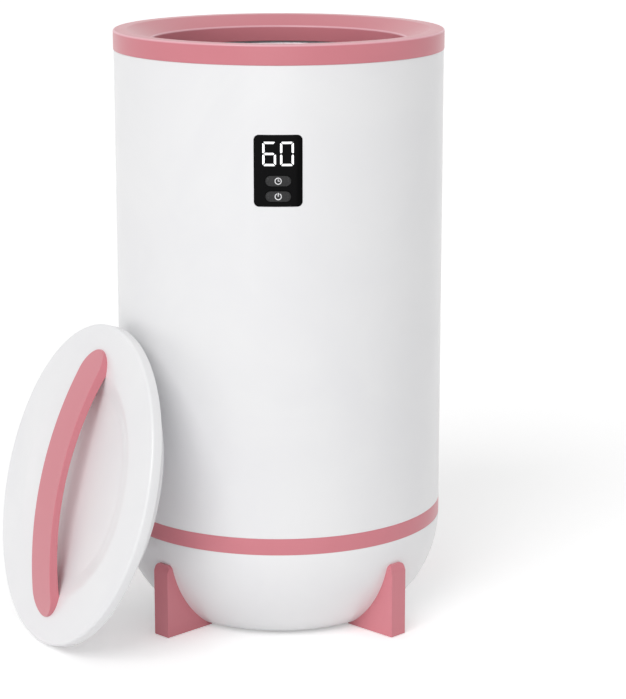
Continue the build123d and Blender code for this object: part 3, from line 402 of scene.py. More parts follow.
pink_abs = plastic("satin_pink_abs", PINK, PINK_SHADOW, **pink_look)
accent_band = turned_piece("accent_band_ring", [
    (SHELL_RADIUS, BAND_LOW), (SHELL_RADIUS, BAND_HIGH), (TONGUE_RADIUS, BAND_HIGH),
    (TONGUE_RADIUS, BAND_HIGH + TONGUE), (BAND_INNER, BAND_HIGH + TONGUE), (BAND_INNER, BAND_FLANGE_TOP),
    (BAND_FLANGE_INNER, BAND_FLANGE_TOP), (BAND_FLANGE_INNER, CHASSIS_TOP), (BAND_INNER, CHASSIS_TOP),
    (BAND_INNER, BAND_LOW - TONGUE), (TONGUE_RADIUS, BAND_LOW - TONGUE), (TONGUE_RADIUS, BAND_LOW)],
    {0: 0.35, 1: 0.35})
smooth(accent_band)
fit(accent_band, pink_abs, "bucket", "accent_band")

# Lower bowl ---------------------------------------------------------------------------------------
# The rounded white bottom: an ABS bowl with a flat floor just off the ground. Four wells in the
# floor take the long base screws, and a flat pad at the back carries the cord gland.
BOWL_CENTRE = 44.5
BOWL_ARC = 105.0
BOWL_WALL = 2.6
BOWL_FLOOR = 2.5
BOWL_EDGE_SETBACK = 3.4
ARC_STEPS = 26
WELL_RADIUS, WELL_REACH = 4.4, 75.0
GLAND_Z = 60.0
GLAND_PAD_RADIUS, GLAND_PAD_FACE, GLAND_PAD_BACK = 12.0, 148.6, 138.0
GLAND_PAD_EDGE, WELL_EDGE = 0.6, 0.3


def bowl_arc(low, inset, steps):
    """Points of the bowl's curved wall from a height up to its seam."""
    reach = BOWL_ARC - inset
    start = atan2(low - BAND_LOW, sqrt(reach ** 2 - (low - BAND_LOW) ** 2))
    angles = [start * (1 - i / steps) for i in range(steps + 1)]
    return [(BOWL_CENTRE + reach * cos(a), BAND_LOW + reach * sin(a)) for a in angles]


outside = bowl_arc(BOWL_FLOOR, 0.0, ARC_STEPS)
inside = bowl_arc(BOWL_FLOOR + BOWL_WALL, BOWL_WALL, ARC_STEPS)
lower_bowl = turned_piece("lower_bowl_shell", [(0.0, BOWL_FLOOR)] + outside + inside[::-1]
                          + [(0.0, BOWL_FLOOR + BOWL_WALL)], {1: BOWL_EDGE_SETBACK}, closed=False)


def bar(name, radius, low, high, vertices=48):
    """Round bar about the Z axis between two heights in millimetres."""
    bpy.ops.object.select_all(action="DESELECT")
    bpy.ops.mesh.primitive_cylinder_add(vertices=vertices, radius=radius * MM, depth=(high - low) * MM,
                                        location=(0, 0, (low + high) / 2 * MM))
    made = bpy.context.object
    made.name = made.data.name = name
    settle(made)
    return made


def settle(piece):
    """Put a piece's place, turn and size into its mesh."""
    make_active(piece)
    bpy.ops.object.transform_apply(location=True, rotation=True, scale=True)


def swing(piece, angle, about, lift=0.0):
    """Turn a piece about a world axis through the origin, in degrees, and lift it in millimetres."""
    make_active(piece)
    piece.rotation_euler = [radians(angle) if axis == about else 0.0 for axis in "XYZ"]
    piece.location.z += lift * MM
    settle(piece)


def round_edges(piece, width, segments=3, sharper_than=40):
    """Break the sharp edges of a piece, as a mould does."""
    make_active(piece)
    step = piece.modifiers.new("edges", "BEVEL")
    step.width = width * MM
    step.segments = segments
    step.limit_method = "ANGLE"
    step.angle_limit = radians(sharper_than)
    bpy.ops.object.modifier_apply(modifier=step.name)


for index in range(4):
    well = bar("well", WELL_RADIUS, BOWL_FLOOR - 2, BOWL_FLOOR + BOWL_WALL + 1, 40)
    bearing = radians(45 + 90 * index)
    well.location = (WELL_REACH * cos(bearing) * MM, WELL_REACH * sin(bearing) * MM, 0)
    settle(well)
    combine(lower_bowl, well, "DIFFERENCE")
pad = bar("gland_seat", GLAND_PAD_RADIUS, GLAND_PAD_BACK, GLAND_PAD_FACE, 72)
round_edges(pad, GLAND_PAD_EDGE)
swing(pad, -90, "X", GLAND_Z)
combine(lower_bowl, pad, "UNION")
round_edges(lower_bowl, WELL_EDGE, 2, 55)
smooth(lower_bowl)
fit(lower_bowl, white_abs, "bucket", "lower_bowl")

# Fin feet -----------------------------------------------------------------------------------------
# Four pink fins that stand outward at the corners, screwed to the bowl from inside. Each follows
# the bowl's curve on its inner edge and ends in a sloped shoulder on top.
FOOT_NAMES = ("foot_rear_right", "foot_rear_left", "foot_front_left", "foot_front_right")
FOOT_OUTER, FOOT_INNER = 152.6, 97.6
FOOT_HALF_WIDTH = 9.0
FOOT_LOW, FOOT_SHOULDER, FOOT_TOP = 0.4, 61.0, 68.0
FOOT_TOP_RADIUS = 149.8
FOOT_BITE = 0.5
FOOT_TOP_ROUND = 4.0
FOOT_EDGE = 0.9


def even_shading(piece):
    """Let a cut piece's large faces set how its small ones shade."""
    make_active(piece)
    step = piece.modifiers.new("shading", "WEIGHTED_NORMAL")
    step.keep_sharp = True
    bpy.ops.object.modifier_apply(modifier=step.name)


fin_wall = bowl_arc(BOWL_FLOOR, FOOT_BITE, 20)
fin_curve = [(x, 0.0, z) for x, z in fin_wall if z < FOOT_TOP - 1]
fin_top = (BOWL_CENTRE + sqrt((BOWL_ARC - FOOT_BITE) ** 2 - (BAND_LOW - FOOT_TOP) ** 2), 0.0, FOOT_TOP)
fin_points = ([(FOOT_INNER, 0.0, FOOT_LOW), (FOOT_OUTER, 0.0, FOOT_LOW), (FOOT_OUTER, 0.0, FOOT_SHOULDER),
               (FOOT_TOP_RADIUS, 0.0, FOOT_TOP), fin_top] + fin_curve[::-1] + [(FOOT_INNER, 0.0, BOWL_FLOOR)])
fin = draw_outline("fin", [(x, y - FOOT_HALF_WIDTH, z) for x, y, z in fin_points])
pull_out((0, 2 * FOOT_HALF_WIDTH, 0))
front_points = [(0.0, -FOOT_HALF_WIDTH, -FOOT_TOP_ROUND), (0.0, FOOT_HALF_WIDTH, -FOOT_TOP_ROUND),
                (0.0, FOOT_HALF_WIDTH, FOOT_TOP), (0.0, -FOOT_HALF_WIDTH, FOOT_TOP)]
fin_front = draw_outline("fin_front", front_points)
round_corners(fin_front, [(point, FOOT_TOP_ROUND) for point in front_points[2:]], 10)
pull_out((FOOT_OUTER + 1, 0, 0))
combine(fin, fin_front, "INTERSECT")
round_edges(fin, FOOT_EDGE, 4, 30)
smooth(fin, 35)
even_shading(fin)


def fit_at_corners(source, material, pieces):
    """Copy a piece to the four corners; pieces lists each copy's name and its CAD node."""
    for index, (name, node) in enumerate(pieces):
        made = source.copy()
        made.data = source.data.copy()
        bpy.context.collection.objects.link(made)
        made.name = made.data.name = name
        swing(made, 45 + 90 * index, "Z")
        fit(made, material, "bucket", node)
    bpy.data.objects.remove(source)


fit_at_corners(fin, pink_abs, [(name + "_fin", name) for name in FOOT_NAMES])

# Foot pads ----------------------------------------------------------------------------------------
# A slim rubber pad let into the underside of each fin, with two shallow grooves along it so that
# it grips the floor. Stuck in place.
PAD_HALF_LENGTH, PAD_HALF_WIDTH = 22.5, 6.0
PAD_MIDDLE = 125.1
PAD_TOP = 1.6
PAD_EDGE = 0.35
GROOVE_OFF, GROOVE_HALF_WIDTH, GROOVE_END, GROOVE_TOP = 2.4, 0.8, 5.0, 0.6


def slot_points(half_length, half_width, z, steps=12):
    """Outline of a bar with round ends along X, flat at one height."""
    reach = half_length - half_width
    angles = [radians(-90 + 180 * i / steps) for i in range(steps + 1)]
    right = [(reach + half_width * cos(a), half_width * sin(a), z) for a in angles]
    return right + [(-x, -y, z) for x, y, _ in right]


pad_source = draw_outline("pad", slot_points(PAD_HALF_LENGTH, PAD_HALF_WIDTH, PAD_TOP))
pull_out((0, 0, -PAD_TOP))
round_edges(pad_source, PAD_EDGE, 2)
for side in (-GROOVE_OFF, GROOVE_OFF):
    groove = draw_outline("groove", slot_points(PAD_HALF_LENGTH - GROOVE_END, GROOVE_HALF_WIDTH, -0.5, 6))
    pull_out((0, 0, GROOVE_TOP + 0.5))
    groove.location.y = side * MM
    settle(groove)
    combine(pad_source, groove, "DIFFERENCE")
pad_source.location.x = PAD_MIDDLE * MM
settle(pad_source)
smooth(pad_source)
rubber = plastic("pad_rubber", (38, 37, 38), (27, 27, 28), 0.72, 40.0, 2200.0, 2e-5, dust=0.3, specular=0.3)
fit_at_corners(pad_source, rubber, [
    (name.replace("foot", "foot_rubber"), name.replace("foot", "foot_pad")) for name in FOOT_NAMES])

# Cord gland ---------------------------------------------------------------------------------------
# The black strain relief at the back of the bowl: a flange against the pad, and a ribbed tail that
# the cord would come through. Moulded in soft rubber around its own bore.
GLAND_BORE = 3.3
GLAND_SHANK = 6.0
GLAND_FLANGE, GLAND_FLANGE_END = 10.0, 151.6
GLAND_TAIL_END = 161.6
GLAND_INNER_END = 130.6
RIB_COUNT, RIB_START, RIB_PITCH = 4, 0.9, 2.25
RIB_RADIUS, RIB_TAPER = 5.6, 0.25

ribs = []
for index in range(RIB_COUNT):
    start = GLAND_FLANGE_END + RIB_START + index * RIB_PITCH
    outer = RIB_RADIUS - RIB_TAPER * index
    ribs += [(outer - 1.1, start), (outer, start + 0.35), (outer - 0.1, start + 1.25),
             (outer - 1.2, start + 1.6)]
cord_gland = turned_piece("cord_gland_boot", [
    (GLAND_BORE, GLAND_INNER_END), (GLAND_SHANK, GLAND_INNER_END), (GLAND_SHANK, GLAND_PAD_FACE),
    (GLAND_FLANGE, GLAND_PAD_FACE), (GLAND_FLANGE, GLAND_FLANGE_END), (5.4, GLAND_FLANGE_END)]
    + ribs + [(4.0, GLAND_TAIL_END), (GLAND_BORE, GLAND_TAIL_END)], {4: 1.2}, steps=72)
swing(cord_gland, -90, "X", GLAND_Z)
smooth(cord_gland)
gland_rubber = plastic("gland_rubber", (30, 30, 31), (22, 22, 23), 0.58, 45.0, 2000.0, 1.2e-5, dust=0.12,
                       specular=0.35)
fit(cord_gland, gland_rubber, "bucket", "cord_gland")

# Warming pot --------------------------------------------------------------------------------------
# The pot that holds the towels, spun from aluminium sheet: straight wall, rounded corner and flat
# floor. Its rolled flange is clamped under the rim. Spinning leaves fine rings in its surface.
POT_INNER, POT_OUTER = 117.0, 118.2
POT_LOW, POT_FLOOR = 110.0, 111.2
POT_CORNER_SETBACK, POT_CORNER_INSIDE = 12.0, 10.8
POT_FLANGE_RADIUS, POT_FLANGE_LOW, POT_FLANGE_TOP = 144.2, 515.8, 517.0
RING_WANDER = 1.5

pot_profile = [
    (0.0, POT_LOW), (POT_OUTER, POT_LOW), (POT_OUTER, POT_FLANGE_LOW), (POT_FLANGE_RADIUS, POT_FLANGE_LOW),
    (POT_FLANGE_RADIUS, POT_FLANGE_TOP), (POT_INNER, POT_FLANGE_TOP), (POT_INNER, POT_FLOOR),
    (0.0, POT_FLOOR)]
warming_pot = turned_piece("warming_pot", pot_profile,
                           {1: POT_CORNER_SETBACK, 5: 1.0, 6: POT_CORNER_INSIDE}, closed=False)
smooth(warming_pot)


def metal(name, colour, shadow, rough, ring_scale, ring_depth, blotch=6.0):
    """Bare metal with tooling rings about the Z axis and a soft bloom of oxide."""
    material, tree, shader = new_material(name)
    parts = place(tree, "SeparateXYZ", Vector=own_place(tree))
    bearing = maths(tree, "ARCTAN2", parts.outputs["X"], parts.outputs["Y"])
    along = place(tree, "CombineXYZ", X=maths(tree, "MULTIPLY", from_axis(tree, parts), ring_scale),
                  Y=maths(tree, "MULTIPLY", parts.outputs["Z"], ring_scale),
                  Z=maths(tree, "MULTIPLY", bearing, RING_WANDER))
    rings = noise(tree, 1.0, 4.0, 0.7, on=along.outputs[0])
    bloom = fade(tree, noise(tree, blotch, 5.0, 0.6), 0.35, 0.7)
    feed(tree, shader, Base_Color=mixed(tree, bloom, linear(*shadow), linear(*colour)), Metallic=1.0,
         Roughness=fade(tree, rings, 0.3, 0.7, rough - 0.07, rough + 0.09))
    bump(tree, rings, ring_depth, shader)
    return material


spun_aluminium = metal("spun_aluminium", (222, 221, 222), (208, 207, 209), 0.42, 900.0, 6e-6)
fit(warming_pot, spun_aluminium, "bucket", "inner_liner")

# Panel window -------------------------------------------------------------------------------------
# The black window of the control panel: gloss acrylic curved to the shell, with its digits shining
# through and two holes for the push buttons. It sits a hair proud of the shell.
WINDOW_RADIUS = 149.7
BUTTON_HEIGHTS = {"timer": 425.7, "power": 412.3}
BUTTON_SIZE = (22.0, 9.3)
CAP_SIZE = (21.7, 9.0)
BUTTON_CLEARANCE = 0.35
ARC_HALF_ANGLE = 12.0
ARC_TURN_STEPS = 60
SLAB_REACH = 45.0
WINDOW_EDGE = 0.18


def front_shell(name, radius, inner):
    """Curved slab of the bucket's front between two radii, taller than the panel."""
    low, high = PANEL_HEIGHT_Z - SLAB_REACH, PANEL_HEIGHT_Z + SLAB_REACH
    slab = draw_outline(name, upright(inner, radius, low, high, 0))
    select_whole()
    bpy.ops.mesh.edge_face_add()
    turn(ARC_TURN_STEPS, radians(2 * ARC_HALF_ANGLE))
    lean = sum(point.co.y > 0 for point in slab.data.vertices) * 2 > len(slab.data.vertices)
    swing(slab, -90 + (-ARC_HALF_ANGLE if lean else ARC_HALF_ANGLE), "Z")
    return slab


def pill(width, height, middle_z):
    """Outline of a button with round ends, in front of the bucket."""
    return [(x, BLOCK_FRONT_Y, middle_z + z) for x, z, _ in slot_points(width / 2, height / 2, 0, 14)]


panel_window = front_block("panel_glass", panel_outline(0.0), PANEL_CORNER)
combine(panel_window, front_shell("window_curve", WINDOW_RADIUS, SHELL_INNER), "INTERSECT")
for height in BUTTON_HEIGHTS.values():
    hole = front_block("button_hole", pill(BUTTON_SIZE[0] + 2 * BUTTON_CLEARANCE,
                                           BUTTON_SIZE[1] + 2 * BUTTON_CLEARANCE, height))
    combine(panel_window, hole, "DIFFERENCE")
round_edges(panel_window, WINDOW_EDGE, 2, 50)
smooth(panel_window)
even_shading(panel_window)


def make_gloss_black():
    """Gloss acrylic: near black, with faint wipe marks in its shine."""
    material, tree, shader = new_material("gloss_black_acrylic")
    stretched = place(tree, "Mapping", Vector=own_place(tree), Rotation=(0.0, 0.5, 0.0),
                      Scale=(90.0, 90.0, 18.0)).outputs[0]
    wipes = noise(tree, 1.0, 5.0, 0.7, on=stretched)
    feed(tree, shader, Specular_IOR_Level=0.05, Roughness=fade(tree, wipes, 0.4, 0.85, 0.07, 0.2),
         Base_Color=mixed(tree, fade(tree, wipes, 0.45, 0.8), linear(3, 3, 4), linear(8, 8, 9)))
    return material


fit(panel_window, make_gloss_black(), "bucket", "panel_window")

# Display digits -----------------------------------------------------------------------------------
# The two lit digits of the temperature display, as white light guides set into the window. Each
# digit has seven bars with mitred ends; only the lit bars are there.
DIGIT_HEIGHT, DIGIT_WIDTH, DIGIT_PITCH = 20.8, 11.6, 15.2
DIGIT_Z = 449.1
BAR_WIDTH = 1.8
BAR_GAP = 0.58
BAR_CORNER = 1.0
DIGIT_RISE = 0.03


def bar_outlines():
    """Outlines of a digit's seven bars about its middle, as (x, z)."""
    x, z, t, g, c = DIGIT_WIDTH / 2, DIGIT_HEIGHT / 2, BAR_WIDTH, BAR_GAP, BAR_CORNER
    top = [(-x + c + g, z), (-x + 0.42 * c + g, z - 0.28 * c), (-x + t + g, z - t), (x - t - g, z - t),
           (x - 0.42 * c - g, z - 0.28 * c), (x - c - g, z)]
    left = [(-x, z - c - g), (-x + 0.28 * c, z - 0.42 * c - g), (-x + t, z - t - g), (-x + t, t / 2 + g),
            (-x + t / 2, g), (-x + 0.3, g + 0.2), (-x, 2.2 * g)]
    middle = [(-x + t / 2 + g, 0), (-x + t + g, t / 2), (x - t - g, t / 2), (x - t / 2 - g, 0),
              (x - t - g, -t / 2), (-x + t + g, -t / 2)]
    flip_x, flip_z = (lambda bars: [(-a, b) for a, b in bars]), (lambda bars: [(a, -b) for a, b in bars])
    return {"a": top, "d": flip_z(top), "g": middle, "f": left, "b": flip_x(left), "e": flip_z(left),
            "c": flip_x(flip_z(left))}


def join_pieces(name, parts):
    make_active(parts[0])
    for part in parts:
        part.select_set(True)
    bpy.ops.object.join()
    joined = bpy.context.object
    joined.name = joined.data.name = name
    return joined


lit_bars = []
for lit, centre in (("acdefg", -DIGIT_PITCH / 2), ("abcdef", DIGIT_PITCH / 2)):
    for letter in lit:
        outline = [(centre + x, BLOCK_FRONT_Y, DIGIT_Z + z) for x, z in bar_outlines()[letter]]
        lit_bar = front_block("digit_bar", outline)
        combine(lit_bar, front_shell("bar_curve", WINDOW_RADIUS + DIGIT_RISE, SHELL_INNER), "INTERSECT")
        lit_bars.append(lit_bar)
display_digits = join_pieces("display_digits", lit_bars)
smooth(display_digits)


def glowing(name, colour, strength, unlit):
    """A milky light guide lit from behind, a little brighter at the middle of each lamp; on the inlaid icons,
    which are no lamps, the emission is painted glow.
    """
    material, tree, shader = new_material(name)
    lamps = noise(tree, 380.0)
    dim, bright = linear(*unlit), linear(*colour)
    feed(tree, shader, Base_Color=mixed(tree, fade(tree, lamps, 0.3, 0.7), dim, bright), Roughness=0.3,
         Emission_Color=mixed(tree, fade(tree, lamps, 0.25, 0.6), dim, bright), Emission_Strength=strength)
    return material


display_light = glowing("display_light", (255, 255, 255), 0.85, (240, 242, 244))
fit(display_digits, display_light, "bucket", "digit_segments")

# Push buttons and their icons ---------------------------------------------------------------------
# Two dark grey pill buttons in the window, each a soft-touch cap with a rounded rim and a stem to
# its switch. A clock and a power sign are inlaid in white. Each moves with its own slide.
BUTTON_FACE_RADIUS = 150.0
CAP_EDGE = 0.55
CAP_FLANGE = 1.3
FLANGE_RADIUS, FLANGE_BACK = 146.7, 144.4
STEM_RADIUS, STEM_END = 2.0, 143.6
ICON_RADIUS, ICON_STROKE = 3.0, 0.68
ICON_FACE_Y, ICON_DEPTH = -150.05, 0.4
ICON_GAP_HALF = 1.25
LONG_HAND, SHORT_HAND, HAND_SHARE = 0.62, 0.5, 0.8


def make_soft_touch():
    """Dark soft-touch paint with pale specks in it, a little rough to the finger."""
    material, tree, shader = new_material("soft_touch_grey")
    specks = noise(tree, 1500.0, 2.0, 0.7)
    feed(tree, shader, Specular_IOR_Level=0.4, Roughness=fade(tree, specks, 0.3, 0.7, 0.4, 0.55),
         Base_Color=mixed(tree, fade(tree, specks, 0.52, 0.72), linear(19, 19, 20), linear(70, 70, 72)))
    bump(tree, specks, 4e-5, shader)
    return material


button_grey = make_soft_touch()
# The inlaid white icons are no lamps: their faint emission is painted glow that lifts them brighter.
icon_white_painted_glow = glowing("icon_white_painted_glow", (226, 226, 228), 0.3, (204, 204, 206))


def flat_ring(name, radius, inner, middle_z):
    """Thin ring that faces the front, with its face at the icons' depth."""
    ring = bar(name, radius, 0, ICON_DEPTH, 56)
    combine(ring, bar("ring_hole", inner, -1, ICON_DEPTH + 1, 48), "DIFFERENCE")
    swing(ring, 90, "X")
    ring.location = (0, (ICON_FACE_Y + ICON_DEPTH) * MM, middle_z * MM)
    settle(ring)
    return ring


def flat_bar(name, low_x, high_x, low_z, high_z):
    """Thin bar that faces the front, with rounded ends."""
    points = upright(low_x, high_x, low_z, high_z, ICON_FACE_Y)
    made = draw_outline(name, points)
    setback = min(high_x - low_x, high_z - low_z) / 2 * 0.9
    round_corners(made, [(point, setback) for point in points], 4)
    pull_out((0, ICON_DEPTH, 0))
    return made


for key, height in BUTTON_HEIGHTS.items():
    cap = front_block(key + "_cap", pill(*CAP_SIZE, height))
    combine(cap, front_shell("cap_curve", BUTTON_FACE_RADIUS, FLANGE_BACK + 0.3), "INTERSECT")
    round_edges(cap, CAP_EDGE, 4, 50)
    flange = front_block("flange", pill(*[size + 2 * CAP_FLANGE for size in BUTTON_SIZE], height))
    combine(flange, front_shell("flange_curve", FLANGE_RADIUS, FLANGE_BACK + 0.5), "INTERSECT")
    combine(cap, flange, "UNION")
    stem = bar("stem", STEM_RADIUS, STEM_END, FLANGE_RADIUS - 0.5, 32)
    swing(stem, 90, "X", height)
    combine(cap, stem, "UNION")
    smooth(cap)
    fit(cap, button_grey, key + "_button", key + "_button")
    ring = flat_ring("icon_ring", ICON_RADIUS, ICON_RADIUS - ICON_STROKE, height)
    half = ICON_STROKE / 2
    if key == "timer":
        thin = half * HAND_SHARE
        strokes = [flat_bar("hand", -thin, thin, height - thin, height + ICON_RADIUS * LONG_HAND),
                   flat_bar("hand", half * 0.7, ICON_RADIUS * SHORT_HAND, height - thin, height + thin)]
    else:
        gap = front_block("icon_gap", upright(-ICON_GAP_HALF, ICON_GAP_HALF, height + 0.5,
                                              height + ICON_RADIUS + 1, BLOCK_FRONT_Y))
        combine(ring, gap, "DIFFERENCE")
        strokes = [flat_bar("stroke", -half, half, height - 0.2, height + ICON_RADIUS + 0.35)]
    icon = join_pieces(key + "_sign", [ring] + strokes)
    smooth(icon)
    fit(icon, icon_white_painted_glow, key + "_button", key + "_icon")

# Lid cover ----------------------------------------------------------------------------------------
# The white disc of the lid, standing taken off against the bucket: a shallow dish in its face and
# a well rounded edge. One satin ABS moulding, hollow behind.
LID_RADIUS = 146.2
LID_THICKNESS = 10.0
LID_WALL = 2.5
LID_EDGE = 2.6
DISH_RADIUS, DISH_FLOOR_RADIUS, DISH_DEPTH = 106.0, 84.0, 3.5
LID_CENTRE = (-186.1064422, -99.7893988, 143.0196331)
LID_BEARING = 208.2
LID_TILT = 16.6
LID_TURN = 5.0


def dish_curve(lift, steps=10):
    """The smooth step between the dish and the lid's face, from its floor outward."""
    shares = [i / steps for i in range(steps + 1)]
    return [(DISH_FLOOR_RADIUS + (DISH_RADIUS - DISH_FLOOR_RADIUS) * s,
             lift - DISH_DEPTH * (1 - s * s * (3 - 2 * s))) for s in shares]


def stand_lid(piece):
    """Turn a piece from the lid's own frame to where the lid leans."""
    make_active(piece)
    piece.rotation_mode = "QUATERNION"
    piece.rotation_quaternion = lid_turning
    piece.location = [c * MM for c in LID_CENTRE]
    settle(piece)
    piece.rotation_mode = "XYZ"


outward = Vector((cos(radians(LID_BEARING)), sin(radians(LID_BEARING)), 0.0))
tilt = radians(LID_TILT)
lid_normal = outward * cos(tilt) + Vector((0, 0, sin(tilt)))
lid_upward = Vector((0, 0, cos(tilt))) - outward * sin(tilt)
lid_across = lid_upward.cross(lid_normal)
lid_axes = Matrix((lid_across, lid_upward, lid_normal)).transposed()
lid_turning = (lid_axes @ Matrix.Rotation(radians(LID_TURN), 3, "Z")).to_quaternion()

lid_profile = ([(0.0, -DISH_DEPTH)] + dish_curve(0.0) + [
    (LID_RADIUS, 0.0), (LID_RADIUS, -LID_THICKNESS), (LID_RADIUS - LID_WALL, -LID_THICKNESS),
    (LID_RADIUS - LID_WALL, -LID_WALL - 2.0)] + dish_curve(-LID_WALL)[::-1] + [(0.0, -DISH_DEPTH - LID_WALL)])
lid_cover = turned_piece("lid_cover_disc", lid_profile, {12: LID_EDGE, 13: 1.0}, closed=False, steps=288)
stand_lid(lid_cover)
smooth(lid_cover)
fit(lid_cover, white_abs, "lid", "lid_cover")

# Lid plug and seal --------------------------------------------------------------------------------
# Behind the cover a white cup plugs the throat and holds the foam. A soft grey silicone ring with
# three lips sits around its root and closes against the throat.
PLUG_RADIUS, PLUG_LOW = 115.0, -30.0
PLUG_WALL = 2.5
PLUG_FLANGE_RADIUS, PLUG_FLANGE_TOP = 143.5, -8.0
SEAL_OUTER, SEAL_LOW = 118.8, -18.0
LIP_ROOT, LIP_COUNT, LIP_PITCH = PLUG_RADIUS + 1.7, 3, 2.5

lid_plug = turned_piece("lid_plug_cup", [
    (0.0, PLUG_LOW), (PLUG_RADIUS, PLUG_LOW), (PLUG_RADIUS, -LID_THICKNESS),
    (PLUG_FLANGE_RADIUS, -LID_THICKNESS), (PLUG_FLANGE_RADIUS, PLUG_FLANGE_TOP),
    (PLUG_RADIUS - PLUG_WALL, PLUG_FLANGE_TOP), (PLUG_RADIUS - PLUG_WALL, PLUG_LOW + PLUG_WALL),
    (0.0, PLUG_LOW + PLUG_WALL)], {1: 3.0, 3: 0.4, 6: 1.5}, closed=False)
stand_lid(lid_plug)
smooth(lid_plug)
fit(lid_plug, white_abs, "lid", "lid_plug")

lips = []
for index in range(LIP_COUNT):
    base = -LID_THICKNESS - 0.5 - index * LIP_PITCH
    lips += [(LIP_ROOT, base), (SEAL_OUTER - 0.3, base - 0.55), (SEAL_OUTER, base - 0.95),
             (SEAL_OUTER - 0.35, base - 1.3), (LIP_ROOT, base - 1.7)]
lid_seal = turned_piece("lid_seal_ring", [
    (PLUG_RADIUS, SEAL_LOW), (PLUG_RADIUS, -LID_THICKNESS), (LIP_ROOT, -LID_THICKNESS)] + lips
    + [(LIP_ROOT, SEAL_LOW)])
stand_lid(lid_seal)
smooth(lid_seal, 50)
silicone = plastic("soft_silicone", (176, 176, 179), (164, 164, 168), 0.55, 30.0, 1800.0, 1e-5, dust=0.15,
                   specular=0.4)
feed(silicone.node_tree, silicone.node_tree.nodes["Principled BSDF"], Subsurface_Weight=0.15,
     Subsurface_Scale=0.003)
fit(lid_seal, silicone, "lid", "lid_seal")

# Handle -------------------------------------------------------------------------------------------
# The pink grip across the lid: a flat bar bent to an arch, round at both ends, with room under it
# for the fingers. Its outer edges are broken, and two screws from behind hold its ends.
HANDLE_HALF, HANDLE_HALF_WIDTH = 123.0, 20.0
HANDLE_RISE, HANDLE_THICKNESS, HANDLE_TIP = 23.2, 6.4, 1.6
GRIP_HALF = 100.0
HANDLE_FOOT = -3.4
ARCH_STEPS = 48
HANDLE_EDGE = 0.7
PLAN_LOW, PLAN_DEPTH, PLAN_STEPS = -8.0, 40.0, 36


def arch(half, rise, tip, steps):
    """Points of a circular arc over the lid, from one end to the other, as (y, z)."""
    sag = rise - tip
    radius = (half ** 2 + sag ** 2) / (2 * sag)
    centre = rise - radius
    ys = [-half + 2 * half * i / steps for i in range(steps + 1)]
    return [(y, centre + sqrt(radius ** 2 - y ** 2)) for y in ys]


outer_arch = arch(HANDLE_HALF, HANDLE_RISE, HANDLE_TIP, ARCH_STEPS)
inner_arch = arch(GRIP_HALF, HANDLE_RISE - HANDLE_THICKNESS, 0.0, ARCH_STEPS)
side_view = outer_arch + [(HANDLE_HALF, HANDLE_FOOT), (GRIP_HALF, HANDLE_FOOT)] + inner_arch[::-1] + [
    (-GRIP_HALF, HANDLE_FOOT), (-HANDLE_HALF, HANDLE_FOOT)]
handle = draw_outline("lid_grip", [(-HANDLE_HALF_WIDTH - 1, y, z) for y, z in side_view])
pull_out((2 * HANDLE_HALF_WIDTH + 2, 0, 0))
plan_points = slot_points(HANDLE_HALF, HANDLE_HALF_WIDTH, PLAN_LOW, PLAN_STEPS)
plan = draw_outline("grip_plan", [(-y, x, z) for x, y, z in plan_points])
pull_out((0, 0, PLAN_DEPTH))
combine(handle, plan, "INTERSECT")
round_edges(handle, HANDLE_EDGE, 3, 35)
stand_lid(handle)
smooth(handle, 35)
even_shading(handle)
fit(handle, pink_abs, "lid", "handle")

# Screws -------------------------------------------------------------------------------------------
# Zinc-plated pan-head screws throughout: in the rim, the chassis, the feet, the base, both boards
# and the lid.
zinc_plate = metal("zinc_plate", (196, 198, 202), (168, 170, 176), 0.3, 1500.0, 3e-6, 220.0)


def dress(material, *names):
    """Give CAD nodes their finish."""
    for name in names:
        nodes[name].data.materials.clear()
        nodes[name].data.materials.append(material)


dress(zinc_plate, "rim_screws", "chassis_screws", "base_screws", "foot_screws", "board_screws",
      "display_screws", "lid_screws", "handle_screws", "thermostat_bracket")
dress(spun_aluminium, "thermal_fuse")

# Heater wrap --------------------------------------------------------------------------------------
# Orange silicone heater sheet around the pot and under its floor: a glass-cloth weave pressed into
# rubber, with the heating wire showing as low ridges.


def make_heater_rubber():
    material, tree, shader = new_material("heater_silicone")
    wires = place(tree, "TexWave", {"bands_direction": "Z"}, Vector=own_place(tree), Scale=22.0,
                  Distortion=0.4).outputs["Fac"]
    cloth = place(tree, "TexBrick", Vector=own_place(tree), Scale=420.0, Mortar_Size=0.03).outputs["Fac"]
    ridge = fade(tree, wires, 0.75, 1.0)
    feed(tree, shader, Base_Color=mixed(tree, ridge, linear(196, 92, 42), linear(214, 112, 58)),
         Roughness=0.5)
    weave = bump(tree, cloth, 4e-5, shader)
    bump(tree, ridge, 3e-4, shader, Normal=weave)
    return material


dress(make_heater_rubber(), "heater_film", "heater_base_pad")
dress(silicone, "liner_gasket", "fuse_cushion")

# Felt insulation ----------------------------------------------------------------------------------
# A thick grey felt jacket around the heater and a felt disc below it: matted fibres, pale flecks,
# no shine at all.


def make_felt():
    material, tree, shader = new_material("needled_felt")
    fibres = noise(tree, 520.0, 8.0, 0.75, 2.5)
    mats = fade(tree, noise(tree, 28.0, 4.0), 0.35, 0.7)
    base = mixed(tree, mats, linear(178, 178, 174), linear(196, 196, 192))
    feed(tree, shader, Roughness=0.95, Specular_IOR_Level=0.1, Sheen_Weight=0.4,
         Base_Color=mixed(tree, fade(tree, fibres, 0.5, 0.75), base, linear(226, 225, 220)))
    bump(tree, fibres, 6e-4, shader)
    return material


dress(make_felt(), "insulation_jacket", "insulation_base")

# Lid foam -----------------------------------------------------------------------------------------
# A disc of white closed-cell foam between the lid's cover and its plug.


def make_foam():
    material, tree, shader = new_material("closed_cell_foam")
    cells = place(tree, "TexVoronoi", Vector=own_place(tree), Scale=480.0).outputs["Distance"]
    skin = fade(tree, cells, 0.1, 0.6)
    feed(tree, shader, Base_Color=mixed(tree, skin, linear(228, 228, 224), linear(242, 242, 238)),
         Roughness=0.85)
    bump(tree, cells, 3e-4, shader)
    return material


